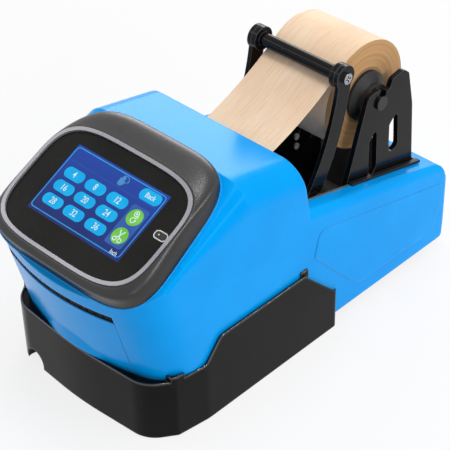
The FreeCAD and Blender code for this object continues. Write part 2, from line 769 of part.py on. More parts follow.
keep("right_arm", make_arm())
keep("left_arm", opposite(nodes["right_arm"]))
pin = rod(arm_x - 0.5, plate_x + plate_thickness, arm_pivot_back, arm_pivot_level, pivot_radius)
pin = pin.fuse(rod(arm_x - 2.2, arm_x - 0.4, arm_pivot_back, arm_pivot_level, pivot_radius + 1.8))
keep("arm_pivot_pins", pin, opposite(pin))
shaft_end = arm_x + arm_thickness
thread_depth = 6.0
shaft = rod(2 * tape_middle - shaft_end, shaft_end, bar_back, bar_level, bar_shaft_radius)
thread = rod(shaft_end - thread_depth, shaft_end + 1, bar_back, bar_level, thread_radius)
keep("bar_shaft", shaft.cut(thread).cut(opposite(thread)))
flange_x = tape_right + flange_gap
shaft_bore = bar_shaft_radius + running_gap
bar = sleeve(2 * tape_middle - flange_x, flange_x, bar_back, bar_level, bar_radius, shaft_bore)
flange = sleeve(flange_x, flange_x + flange_thickness, bar_back, bar_level, flange_radius, shaft_bore)
keep("guide_bar", bar.fuse(flange).fuse(opposite(flange)))
bar_screw = pan_screw(V(shaft_end, bar_back, bar_level), V(1, 0, 0), 5.0, 3.0, thread_radius, thread_depth)
keep("bar_screws", bar_screw, opposite(bar_screw))

# ---- roll ----------------------------------------------------------------------------------------
keep("tape_roll", sleeve(tape_left, tape_right, roll_back, roll_level, roll_radius, core_radius))
keep("tape_core", sleeve(tape_left, tape_right, roll_back, roll_level, core_radius, core_bore))
hub_end = plate_x - 0.5
collar_x = tape_right + 3.0
hub = rod(tape_right - hub_grip, collar_x, roll_back, roll_level, core_bore)
hub = hub.fuse(Part.makeCone(core_bore, hub_radius, 5, V(collar_x, roll_back, roll_level), V(1, 0, 0)))
hub = hub.fuse(rod(collar_x, hub_end, roll_back, roll_level, hub_radius))
keep("right_hub", hub.cut(rod(tape_middle, hub_end + 1, roll_back, roll_level, spindle_radius)))
keep("left_hub", opposite(nodes["right_hub"]))
spindle_end = plate_x + plate_thickness + 2.5
spindle = rod(2 * tape_middle - spindle_end, spindle_end, roll_back, roll_level, spindle_radius)
button = rod(spindle_end - 1.8, spindle_end, roll_back, roll_level, spindle_radius + 1.5)
keep("roll_spindle", spindle.fuse(button).fuse(opposite(button)))


# ---- paper web -----------------------------------------------------------------------------------
def web_edges(offset):
    """One face of the tape: round the roll, under the bar, into the hood and down to the blades."""
    roll_reach = roll_radius + web_gap + web_thickness / 2 + offset
    bar_reach = bar_radius + web_gap + web_thickness / 2 - offset
    bearing = math.atan2(bar_level - roll_level, bar_back - roll_back)
    leave = bearing - math.acos((roll_reach + bar_reach) / bar_distance)
    land = leave + math.pi
    entry = path(4, web_gap + web_thickness / 2 + offset)
    end = path(cut_station, web_gap + web_thickness / 2 + offset)
    to_bar = math.atan2(bar_level - entry_level, bar_back)
    down = to_bar + math.acos(bar_reach / math.hypot(bar_back, bar_level - entry_level)) - math.pi

    def round_roll(angle):
        away = V(0, math.cos(angle), math.sin(angle))
        return V(tape_left, roll_back, roll_level) + away * roll_reach

    def round_bar(angle):
        away = V(0, math.cos(angle), math.sin(angle))
        return V(tape_left, bar_back, bar_level) + away * bar_reach

    lap = math.radians(34)
    first = V(tape_left, entry[0], entry[1])
    off_bar = round_bar(down)
    sag = (off_bar + first) * 0.5 + V(0, 1.2, -3.2)
    return [
        Part.Arc(round_roll(leave - lap), round_roll(leave - lap / 2), round_roll(leave)).toShape(),
        Part.makeLine(round_roll(leave), round_bar(land)),
        Part.makeLine(round_bar(land), off_bar),
        Part.Arc(off_bar, sag, first).toShape(),
        Part.makeLine(first, V(tape_left, end[0], end[1])),
    ]


def make_web():
    upper = web_edges(web_thickness / 2)
    lower = web_edges(-web_thickness / 2)
    ends = [Part.makeLine(upper[0].Vertexes[0].Point, lower[0].Vertexes[0].Point),
            Part.makeLine(upper[-1].Vertexes[-1].Point, lower[-1].Vertexes[-1].Point)]
    wire = Part.Wire(Part.__sortEdges__(upper + lower + ends))
    return Part.Face(wire).extrude(V(tape_width, 0, 0))


keep("tape_web", make_web())

# ---- mechanism cheeks ----------------------------------------------------------------------------
feed_y, feed_z = path(feed_station, -feed_radius)
pinch_y, pinch_z = path(feed_station, web_thickness + 2 * web_gap + pinch_radius)
pivot_y, pivot_z = path(pinch_pivot_station, pinch_pivot_height)
roof = wall + 5.0
cheek = side_prism([(-cheek_back, floor_top, 0), (-cheek_back, back_top(-cheek_back, roof), 3),
                    (crest(roof), back_top(crest(roof), roof + 3), 3),
                    (-cheek_front, slope_top(-cheek_front, roof + 3), 3), (-cheek_front, floor_top, 0)],
                   cheek_x, cheek_x + cheek_thickness)
cheek_end = cheek_x + cheek_thickness
cheek = cheek.cut(rod(cheek_x - 1, cheek_end + 1, feed_y, feed_z, bearing_radius))
cheek = cheek.cut(rod(cheek_x - 1, cheek_end + 1, pivot_y, pivot_z, pinch_shaft_radius))
keep("right_cheek", cheek)
motor_nose = motor_pulley_radius + 4
left_cheek_end = left_cheek_x - cheek_thickness
keep("left_cheek", opposite(cheek).cut(rod(left_cheek_end - 1, left_cheek_x + 1, -motor_back, motor_level,
                                           motor_nose)))
keep("tie_rods", *[rod(left_cheek_x, cheek_x, y, z, 4) for y, z in
                   ((-cheek_back - 8, 40), (-cheek_front + 8, 40), (-cheek_back - 8, entry_level - 38))])

# ---- feed roller, pinch roller and drive ---------------------------------------------------------
shaft_hole = feed_shaft_radius + running_gap
bearing = sleeve(cheek_x - 2, cheek_end, feed_y, feed_z, bearing_radius, shaft_hole)
bearing = bearing.fuse(sleeve(cheek_x - 2, cheek_x, feed_y, feed_z, bearing_radius + 1.5, shaft_hole))
keep("feed_bearings", bearing, opposite(bearing))
pulley_x1 = left_cheek_end - 1
pulley_x0 = pulley_x1 - pulley_width
keep("feed_shaft", rod(pulley_x0, cheek_end + 1, feed_y, feed_z, feed_shaft_radius))
keep("feed_roller", sleeve(tape_left - 1, tape_right + 1, feed_y, feed_z, feed_radius, feed_shaft_radius))


def pulley(y, z, radius, bore):
    body = rod(pulley_x0, pulley_x1, y, z, radius)
    for x0 in (pulley_x0, pulley_x1 - 1):
        body = body.fuse(rod(x0, x0 + 1, y, z, radius + belt_thickness + 0.8))
    return body.cut(rod(pulley_x0 - 1, pulley_x1 + 1, y, z, bore))


keep("feed_pulley", pulley(feed_y, feed_z, feed_pulley_radius, feed_shaft_radius))
shaft_inside = 18.0
keep("motor_pulley", pulley(-motor_back, motor_level, motor_pulley_radius, motor_shaft_radius),
     rod(pulley_x0, left_cheek_x + shaft_inside, -motor_back, motor_level, motor_shaft_radius))


def round_pulleys(gap, x0, x1):
    return wrap_round(-motor_back, motor_level, motor_pulley_radius + gap, feed_y, feed_z,
                      feed_pulley_radius + gap, x0, x1)


belt = round_pulleys(belt_gap + belt_thickness, pulley_x0 + 1.4, pulley_x1 - 1.4)
keep("drive_belt", belt.cut(round_pulleys(belt_gap, pulley_x0, pulley_x1)))
motor_half = motor_size / 2
motor = plan_prism([(-motor_half, -motor_half, 5), (motor_half, -motor_half, 5), (motor_half, motor_half, 5),
                    (-motor_half, motor_half, 5)], 0, motor_length)
motor.rotate(V(0, 0, 0), V(0, 1, 0), 90)
motor.translate(V(left_cheek_x, -motor_back, motor_level))
motor = motor.fuse(rod(left_cheek_end, left_cheek_x, -motor_back, motor_level, motor_nose))
motor_bore = rod(left_cheek_end - 1, left_cheek_x + shaft_inside + 1, -motor_back, motor_level,
                 motor_shaft_radius + running_gap)
keep("feed_motor", motor.cut(motor_bore))

lever_x = tape_right + 1.5
lever_thickness = 3.0
lever_round = pinch_shaft_radius + 2.5
pinch_end = lever_x + lever_thickness
lever = wrap_round(pivot_y, pivot_z, lever_round, pinch_y, pinch_z, lever_round, lever_x, pinch_end)
for y, z in ((pivot_y, pivot_z), (pinch_y, pinch_z)):
    lever = lever.cut(rod(lever_x - 1, pinch_end + 1, y, z, pinch_shaft_radius + running_gap))
bridge_y = pivot_y * 0.55 + pinch_y * 0.45
bridge_z = pivot_z * 0.55 + pinch_z * 0.45
bridge = box(2 * tape_middle - lever_x, lever_x, bridge_y - 2.5, bridge_y + 2.5, bridge_z + 1, bridge_z + 4)
keep("pinch_lever", lever.fuse(opposite(lever)).fuse(bridge))
keep("pinch_pivot_rod", rod(left_cheek_end, cheek_end, pivot_y, pivot_z, pinch_shaft_radius))
pinch_tyre = sleeve(tape_left + 2, tape_right - 2, pinch_y, pinch_z, pinch_radius, pinch_shaft_radius)
keep("pinch_roller", pinch_tyre,
     rod(2 * tape_middle - pinch_end, pinch_end, pinch_y, pinch_z, pinch_shaft_radius))


def torsion_spring(x0, leg_side):
    """Close wound coil round the pinch pivot rod, with a straight leg at each end."""
    coil = pinch_shaft_radius + spring_wire + 0.8
    ridge = coil + spring_wire
    valley = coil + 0.3 * spring_wire
    outline_points = [(x0, coil - spring_wire)]
    for turn in range(spring_turns):
        low = x0 + turn * spring_pitch
        outline_points.append((low, valley))
        outline_points.append((low + 0.3 * spring_pitch, ridge))
        outline_points.append((low + 0.7 * spring_pitch, ridge))
    x1 = x0 + spring_turns * spring_pitch
    outline_points += [(x1, valley), (x1, coil - spring_wire)]
    points = [V(x, pivot_y, pivot_z + r) for x, r in outline_points]
    profile = Part.Face(Part.makePolygon(points + points[:1]))
    spring = profile.revolve(V(0, pivot_y, pivot_z), V(1, 0, 0), 360)
    ahead = V(0, -math.cos(fall), -math.sin(fall))
    legs = (x0 + spring_pitch / 2, x1 - spring_pitch / 2)[::leg_side]
    for x, start, heading in ((legs[0], path_up * coil, ahead), (legs[1], path_up * -coil, ahead * -1)):
        foot = V(x, pivot_y, pivot_z) + start
        spring = spring.fuse(Part.makeCylinder(0.6 * spring_wire, spring_leg, foot, heading))
    return spring


spring_pitch = 2 * spring_wire
spring_room = spring_turns * spring_pitch + 0.7
keep("pinch_springs", torsion_spring(lever_x - spring_room, 1),
     torsion_spring(2 * tape_middle - lever_x + 0.7, -1))

# ---- tape guides, blades and solenoid ------------------------------------------------------------
roller_room = feed_radius + 2.0
keep("tape_guides",
     path_prism(5, feed_station - roller_room, -1.5, 0, left_cheek_x, cheek_x),
     path_prism(feed_station + roller_room, cut_station, -1.5, 0, left_cheek_x, cheek_x),
     path_prism(feed_station + roller_room - 2, cut_station - 6, 1.6, 2.8, left_cheek_x, cheek_x))
keep("fixed_blade", path_prism(cut_station - blade_thickness, cut_station, 1.3, 16, left_cheek_x, cheek_x))
blade_s0 = cut_station + 0.35
blade_s1 = blade_s0 + blade_thickness
carrier_s1 = blade_s1 + 5
blade_x = tape_right + 3
blade_low = -blade_rest - blade_depth
carrier_low = blade_low - 8
blade_left = 2 * tape_middle - blade_x
keep("moving_blade", path_prism(blade_s0, blade_s1, blade_low, -blade_rest, blade_left, blade_x))
solenoid_x = tape_middle + solenoid_offset
solenoid_s = (blade_s1 + carrier_s1) / 2
plunger_foot = path(solenoid_s, carrier_low - plunger_length)
plunger = Part.makeCylinder(plunger_radius, plunger_length, V(solenoid_x, *plunger_foot), path_up)
carrier_top = blade_low + 12
carrier = path_prism(blade_s1, carrier_s1, carrier_low, carrier_top, blade_left, blade_x)
keep("blade_carrier", carrier.fuse(plunger))
guide = path_prism(blade_s1, carrier_s1, carrier_low - 2, carrier_top + blade_travel, blade_x + 0.3, cheek_x)
keep("blade_guides", guide, opposite(guide))
case_top = carrier_low - 2
case_low = case_top - solenoid_length
case = path_prism(solenoid_s - solenoid_half, solenoid_s + solenoid_half, case_low, case_top,
                  solenoid_x - solenoid_half, solenoid_x + solenoid_half)
bore_foot = path(solenoid_s, carrier_low - plunger_length - 4)
case = case.cut(Part.makeCylinder(plunger_radius + 0.1, far, V(solenoid_x, *bore_foot), path_up))
mount = path_prism(solenoid_s - solenoid_half, solenoid_s + solenoid_half, case_low - 2.5, case_low,
                   solenoid_x - solenoid_half, cheek_x)
keep("cutter_solenoid", case, mount)

# ---- water tank, brushes, pressure plate ---------------------------------------------------------
tank_right = door_right - 0.5
rim_height = -14.0


def beside_path(y, height):
    """Level of a line parallel to the tape path, above a place along Y."""
    return entry_level + y * math.tan(fall) + height / math.cos(fall)


def tank_section(inset, lift):
    return [(-tank_back - inset, floor_top + inset, 2),
            (-tank_back - inset, beside_path(-tank_back, rim_height + lift), 0),
            (-tank_nose + inset, beside_path(-tank_nose, rim_height + lift), 0),
            (-tank_nose + inset, tank_shelf + inset, 2), (-tank_front + inset, tank_shelf - 8 + inset, 2),
            (-tank_front + inset, floor_top + inset, 2)]


hollow = side_prism(tank_section(tank_wall, 20), tank_left + tank_wall, tank_right - tank_wall)
keep("water_tank", side_prism(tank_section(0, 0), tank_left, tank_right).cut(hollow))
frame_top = -12.0
half_brush = brush_thickness / 2
frame_s0 = brush_stations[0] - 8
frame_s1 = brush_stations[-1] + 8
frame = path_prism(frame_s0, frame_s1, frame_top - 4, frame_top, tank_left, tank_right)
brushes = []
for station in brush_stations:
    frame = frame.cut(path_prism(station - half_brush, station + half_brush, frame_top - 9, frame_top + 4,
                                 tape_left, tape_right))
    brushes.append(path_prism(station - half_brush, station + half_brush, frame_top - 8, -0.6, tape_left,
                              tape_right).common(hollow))
keep("brush_carrier", frame.common(hollow))
keep("wetting_brushes", *brushes)
keep("pressure_plate", path_prism(cut_station + 12, frame_s1 + 2, 2, 4.5, left_cheek_x, cheek_x))
keep("plate_heater", path_prism(cut_station + 20, frame_s1 - 6, 4.5, 7, tape_left + 5, tape_right - 5))
bristle_low = door_top + 3.5
bristles = nose_prism(wall + 1, bristle_low, bristle_low + 12).cut(nose_prism(wall + 6, bristle_low - 1, far))
slot_span = box(door_left - 3, door_right + 3, -far, front_face(bristle_low) + 25, 0, far)
keep("exit_bristles", bristles.common(slot_span))

# ---- power ---------------------------------------------------------------------------------------
keep("power_supply", box(-half_width + wall + 2, tank_left - 1, -cheek_front, -cheek_back, floor_top,
                         floor_top + 38))
socket_face = tail_face(power_level + inlet_half_height)
socket = box(inlet_x - inlet_half_width, inlet_x + inlet_half_width, socket_face - 22, socket_face,
             power_level - inlet_half_height, power_level + inlet_half_height)
mouth_half_width = inlet_half_width - 2
mouth_half_height = inlet_half_height - 2
socket = socket.cut(box(inlet_x - mouth_half_width, inlet_x + mouth_half_width, socket_face - 14, far,
                        power_level - mouth_half_height, power_level + mouth_half_height))
for x, z in ((-7, -1.5), (0, 2.0), (7, -1.5)):
    socket = socket.fuse(box(inlet_x + x - 1, inlet_x + x + 1, socket_face - 15, socket_face - 3,
                             power_level + z - 2.5, power_level + z + 2.5))
keep("power_inlet", socket)
switch_face = tail_face(power_level + rocker_half_height)
frame_wall = 1.5
room_x = rocker_half_width - frame_wall
room_z = rocker_half_height - frame_wall
switch = box(rocker_x - rocker_half_width, rocker_x + rocker_half_width, switch_face - 18, switch_face,
             power_level - rocker_half_height, power_level + rocker_half_height)
switch = switch.cut(box(rocker_x - room_x, rocker_x + room_x, switch_face - 16, switch_face + 1,
                        power_level - room_z, power_level + room_z))
rocker_y = switch_face - rocker_pin_depth
keep("switch_frame", switch.fuse(rod(rocker_x - room_x - 0.5, rocker_x + room_x + 0.5, rocker_y, power_level,
                                     rocker_pin_radius)))
rocker_swing = 12.0
rocker_corner = 52.0       # direction of the pressed corner from the switch's axis, degrees
corner_reach = (room_z - 0.3) / math.sin(math.radians(rocker_corner))


def rocker_point(reach, angle, radius):
    turn = math.radians(angle)
    return rocker_y + reach * math.cos(turn), power_level + reach * math.sin(turn), radius


rocker = side_prism([(rocker_y - 3, power_level - 3, 1.5), (rocker_y - 3, power_level + 3, 1.5),
                     rocker_point(corner_reach, rocker_corner - rocker_swing, 0.8),
                     rocker_point(corner_reach * 0.58, -rocker_swing / 2, 12),
                     rocker_point(corner_reach, -rocker_corner, 0.8)],
                    rocker_x - room_x + 0.4, rocker_x + room_x - 0.4)
keep("power_rocker", rocker.cut(rod(-far, far, rocker_y, power_level, rocker_pin_radius + running_gap)))

machine_front = min(shape.optimalBoundingBox(False).YMin for shape in nodes.values())
machine_back = max(shape.optimalBoundingBox(False).YMax for shape in nodes.values())
machine_middle = (machine_front + machine_back) / 2
os.makedirs("parts", exist_ok=True)
for name, shape in nodes.items():
    piece = shape.copy()
    piece.translate(V(0, -machine_middle, 0))
    piece.exportStep(os.path.join("parts", name + ".step"))
print("nodes", len(nodes), "middle", round(machine_middle, 3))
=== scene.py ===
import bpy
import bmesh
import math
import random
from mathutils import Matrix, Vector
from mathutils.bvhtree import BVHTree


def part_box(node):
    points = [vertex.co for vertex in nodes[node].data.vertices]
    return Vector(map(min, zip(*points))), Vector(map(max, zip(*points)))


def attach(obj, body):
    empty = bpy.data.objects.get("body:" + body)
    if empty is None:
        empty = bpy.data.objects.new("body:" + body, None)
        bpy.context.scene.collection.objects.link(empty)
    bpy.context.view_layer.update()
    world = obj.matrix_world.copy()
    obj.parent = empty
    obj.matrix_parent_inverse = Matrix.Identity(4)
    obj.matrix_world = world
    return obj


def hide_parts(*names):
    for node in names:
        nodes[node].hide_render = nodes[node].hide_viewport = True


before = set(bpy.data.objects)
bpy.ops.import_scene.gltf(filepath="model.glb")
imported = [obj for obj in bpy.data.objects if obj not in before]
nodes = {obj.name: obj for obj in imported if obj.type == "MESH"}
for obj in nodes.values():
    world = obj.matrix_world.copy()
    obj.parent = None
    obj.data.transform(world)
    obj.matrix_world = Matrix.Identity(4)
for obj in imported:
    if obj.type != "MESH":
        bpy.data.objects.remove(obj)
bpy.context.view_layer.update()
# sizes of the pieces below are in mm, and places and sizes of the camera, stage and lamps in m
mm = 0.001
inFront = -0.4  # Y in m, well in front of the object: rays towards its front start here
rollLow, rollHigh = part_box("tape_roll")
rollAxis = (rollLow + rollHigh) / 2
rollBack = 120.2  # from the hood's rear edge back to the roll's axis
hoodEdge = rollAxis.y - rollBack * mm  # the screen's place along Y is counted from this edge
print("frame loaded:", len(nodes), "nodes")

# camera and stage
camera = {"azimuth": 44.52, "elevation": 38.32, "roll": -1.17, "distance": 1.4394, "lens": 127.83,
          "target": (0.0, 0.014767, 0.05625), "shift": (-0.028, 0.0382)}
stage = {"floorSize": 12.0, "floorColour": (247, 247, 248), "skyColour": (1.0, 1.0, 1.0), "skyStrength": 0.33,
         "backdropShare": 0.8}
lamps = {
    "topStrip": {"place": (0.05, 0.1, 1.5), "size": (1.2, 0.07), "aim": (0, 0, 0.1), "power": 8},
    "backPanel": {"place": (-1.15, 1.5, 0.85), "size": (1.2, 0.7), "aim": (0, 0, 0.1), "power": 12},
    "rightStrip": {"place": (1.35, 0.35, 1.0), "size": (1.6, 0.04), "aim": (0, 0.1, 0.15), "power": 11},
    "leftStrip": {"place": (-1.0, -0.75, 1.15), "size": (0.9, 0.16), "aim": (0, -0.1, 0.05), "power": 2},
    "frontPanel": {"place": (1.4, -1.2, 0.7), "size": (0.6, 0.6), "aim": (0, -0.1, 0.1), "power": 2},
}


def placeCamera():
    turn, rise, roll = (math.radians(camera[key]) for key in ("azimuth", "elevation", "roll"))
    back = Vector((math.sin(turn) * math.cos(rise), -math.cos(turn) * math.cos(rise), math.sin(rise)))
    right = Vector((math.cos(turn), math.sin(turn), 0))
    up = back.cross(right)
    across = right * math.cos(roll) + up * math.sin(roll)
    upright = up * math.cos(roll) - right * math.sin(roll)
    data = bpy.data.cameras.new("viewCamera")
    data.sensor_width = 36
    data.lens = camera["lens"]
    data.shift_x, data.shift_y = camera["shift"]
    made = bpy.data.objects.new("viewCamera", data)
    bpy.context.scene.collection.objects.link(made)
    place = Vector(camera["target"]) + back * camera["distance"]
    matrix = made.matrix_world.copy()
    for column, axis in enumerate((across, upright, back, place)):
        for row in range(3):
            matrix[row][column] = axis[row]
    made.matrix_world = matrix
    bpy.context.scene.camera = made


def linear(red, green, blue):
    return tuple(c / 255 / 12.92 if c <= 10 else ((c / 255 + 0.055) / 1.055) ** 2.4
                 for c in (red, green, blue)) + (1.0,)


placeCamera()
bpy.context.scene.view_settings.view_transform = "Standard"
print("camera placed")


# shader helpers
def addNode(tree, kind, sockets=None, **settings):
    made = tree.nodes.new(kind)
    for key, value in settings.items():
        setattr(made, key, value)
    for key, value in (sockets or {}).items():
        if isinstance(value, bpy.types.NodeSocket):
            tree.links.new(value, made.inputs[key])
        else:
            made.inputs[key].default_value = value
    return made


def newGroup(name, inputs, outputs):
    tree = bpy.data.node_groups.new(name, "ShaderNodeTree")
    for label, kind, value in inputs:
        made = tree.interface.new_socket(label, in_out="INPUT", socket_type=kind)
        made.default_value = value
    for label, kind in outputs:
        tree.interface.new_socket(label, in_out="OUTPUT", socket_type=kind)
    return tree, tree.nodes.new("NodeGroupInput").outputs, tree.nodes.new("NodeGroupOutput").inputs


def mathNode(tree, operation, first, second=0.0, third=0.0):
    made = addNode(tree, "ShaderNodeMath", {0: first, 1: second, 2: third}, operation=operation)
    return made.outputs[0]


def vectorNode(tree, operation, first, second=(0.0, 0.0, 0.0), result="Vector"):
    return addNode(tree, "ShaderNodeVectorMath", {0: first, 1: second}, operation=operation).outputs[result]


def rangeNode(tree, value, low, high, newLow=0.0, newHigh=1.0, **settings):
    sockets = {"Value": value, "From Min": low, "From Max": high, "To Min": newLow, "To Max": newHigh}
    return addNode(tree, "ShaderNodeMapRange", sockets, **settings).outputs[0]


def mixColour(tree, share, first, second):  # sockets 0, 6 and 7 are the share and the two colours
    return addNode(tree, "ShaderNodeMix", {0: share, 6: first, 7: second}, data_type="RGBA").outputs[2]


def objectPlace(tree):
    return addNode(tree, "ShaderNodeTexCoord").outputs["Object"]


def makeMottle():  # slow change of tone and fine grain, from the piece's own coordinates
    inputs = [("Spread", "NodeSocketFloat", 20.0), ("Grain", "NodeSocketFloat", 900.0),
              ("Stretch", "NodeSocketVector", (1.0, 1.0, 1.0))]
    outputs = [("Tone", "NodeSocketFloat"), ("Grain", "NodeSocketFloat")]
    tree, given, result = newGroup("surfaceMottle", inputs, outputs)
    stretched = vectorNode(tree, "MULTIPLY", objectPlace(tree), given["Stretch"])
    slow = addNode(tree, "ShaderNodeTexNoise", {"Vector": stretched, "Scale": given["Spread"], "Detail": 3.0})
    fine = addNode(tree, "ShaderNodeTexNoise", {"Vector": stretched, "Scale": given["Grain"], "Detail": 2.0})
    tree.links.new(slow.outputs["Fac"], result["Tone"])
    tree.links.new(fine.outputs["Fac"], result["Grain"])
    return tree


def makeSoftEdge():  # rounds hard edges in the shading and marks where they are
    inputs = [("Radius", "NodeSocketFloat", 0.0006), ("Width", "NodeSocketFloat", 0.12)]
    outputs = [("Normal", "NodeSocketVector"), ("Edge", "NodeSocketFloat")]
    tree, given, result = newGroup("softEdge", inputs, outputs)
    rounded = addNode(tree, "ShaderNodeBevel", {"Radius": given["Radius"]}, samples=6).outputs[0]
    flat = addNode(tree, "ShaderNodeNewGeometry").outputs["Normal"]
    apart = mathNode(tree, "SUBTRACT", 1.0, vectorNode(tree, "DOT_PRODUCT", rounded, flat, "Value"))
    tree.links.new(rounded, result["Normal"])
    tree.links.new(rangeNode(tree, apart, 0.0, given["Width"]), result["Edge"])
    return tree


def makeSpecks():  # sparse dust specks and pits, which on the bristles are painted glints
    inputs = [("Scale", "NodeSocketFloat", 500.0), ("Size", "NodeSocketFloat", 0.12),
              ("Share", "NodeSocketFloat", 0.3)]
    tree, given, result = newGroup("dustAndGlintSpecks", inputs, [("Speck", "NodeSocketFloat")])
    cells = addNode(tree, "ShaderNodeTexVoronoi", {"Vector": objectPlace(tree), "Scale": given["Scale"]})
    near = mathNode(tree, "LESS_THAN", cells.outputs["Distance"], given["Size"])
    chance = addNode(tree, "ShaderNodeSeparateColor", {"Color": cells.outputs["Color"]}).outputs[0]
    chosen = mathNode(tree, "LESS_THAN", chance, given["Share"])
    tree.links.new(mathNode(tree, "MULTIPLY", near, chosen), result["Speck"])
    return tree


def makeScratches():  # long fine lines, as rubbing leaves them
    inputs = [("Stretch", "NodeSocketVector", (40.0, 900.0, 900.0)), ("Level", "NodeSocketFloat", 0.62)]
    tree, given, result = newGroup("rubMarks", inputs, [("Mark", "NodeSocketFloat")])
    stretched = vectorNode(tree, "MULTIPLY", objectPlace(tree), given["Stretch"])
    lines = addNode(tree, "ShaderNodeTexNoise", {"Vector": stretched, "Scale": 1.0, "Detail": 2.0})
    tree.links.new(rangeNode(tree, lines.outputs["Fac"], given["Level"], 0.8), result["Mark"])
    return tree


groups = {"mottle": makeMottle(), "edge": makeSoftEdge(), "specks": makeSpecks(),
          "scratches": makeScratches()}


def useGroup(tree, name, **sockets):
    made = tree.nodes.new("ShaderNodeGroup")
    made.node_tree = groups[name]
    for key, value in sockets.items():
        made.inputs[key].default_value = value
    return made.outputs


def startMaterial(name, **sockets):
    material = bpy.data.materials.new(name)
    material.use_nodes = True
    tree = material.node_tree
    shader = tree.nodes["Principled BSDF"]
    for key, value in sockets.items():
        shader.inputs[key].default_value = value
    return material, tree, shader


# what a finish has where it gives no value of its own
plainLook = {"metallic": 0.0, "specular": 0.5, "tint": (255, 255, 255), "spread": 18.0, "grain": 1200.0,
             "stretch": (1.0, 1.0, 1.0), "edgeRadius": 0.6 * mm, "edgeWidth": 0.12, "edgeHighlightShare": 0.25,
             "scratchShare": 0.3, "scratchColour": (150, 150, 150), "roughness": (0.35, 0.45), "bump": 0.1,
             "depth": 0.1 * mm}


def makeFinish(name, given):
    look = {**plainLook, "edgeHighlightColour": given["colour"], **given}
    material, tree, shader = startMaterial(name)
    shader.inputs["Metallic"].default_value = look["metallic"]
    shader.inputs["Specular IOR Level"].default_value = look["specular"]
    shader.inputs["Specular Tint"].default_value = linear(*look["tint"])
    mottle = useGroup(tree, "mottle", Spread=look["spread"], Grain=look["grain"], Stretch=look["stretch"])
    edge = useGroup(tree, "edge", Radius=look["edgeRadius"], Width=look["edgeWidth"])
    tone = rangeNode(tree, mottle["Tone"], 0.35, 0.65)
    colour = mixColour(tree, tone, linear(*look["colour"]), linear(*look["second"]))
    if "specks" in look:
        size, share, speckColour = look["specks"]
        speck = useGroup(tree, "specks", Scale=size, Share=share)["Speck"]
        colour = mixColour(tree, speck, colour, linear(*speckColour))
    if "scratches" in look:
        mark = useGroup(tree, "scratches", Stretch=look["scratches"])["Mark"]
        share = mathNode(tree, "MULTIPLY", mark, look["scratchShare"])
        colour = mixColour(tree, share, colour, linear(*look["scratchColour"]))
    # edges are mixed towards the finish's edge colour: a painted highlight along the edges
    paintedEdgeHighlight = mathNode(tree, "MULTIPLY", edge["Edge"], look["edgeHighlightShare"])
    colour = mixColour(tree, paintedEdgeHighlight, colour, linear(*look["edgeHighlightColour"]))
    tree.links.new(colour, shader.inputs["Base Color"])
    low, high = look["roughness"]
    tree.links.new(rangeNode(tree, mottle["Grain"], 0.3, 0.7, low, high), shader.inputs["Roughness"])
    sockets = {"Strength": look["bump"], "Distance": look["depth"], "Height": mottle["Grain"],
               "Normal": edge["Normal"]}
    bump = addNode(tree, "ShaderNodeBump", sockets)
    tree.links.new(bump.outputs[0], shader.inputs["Normal"])
    return material
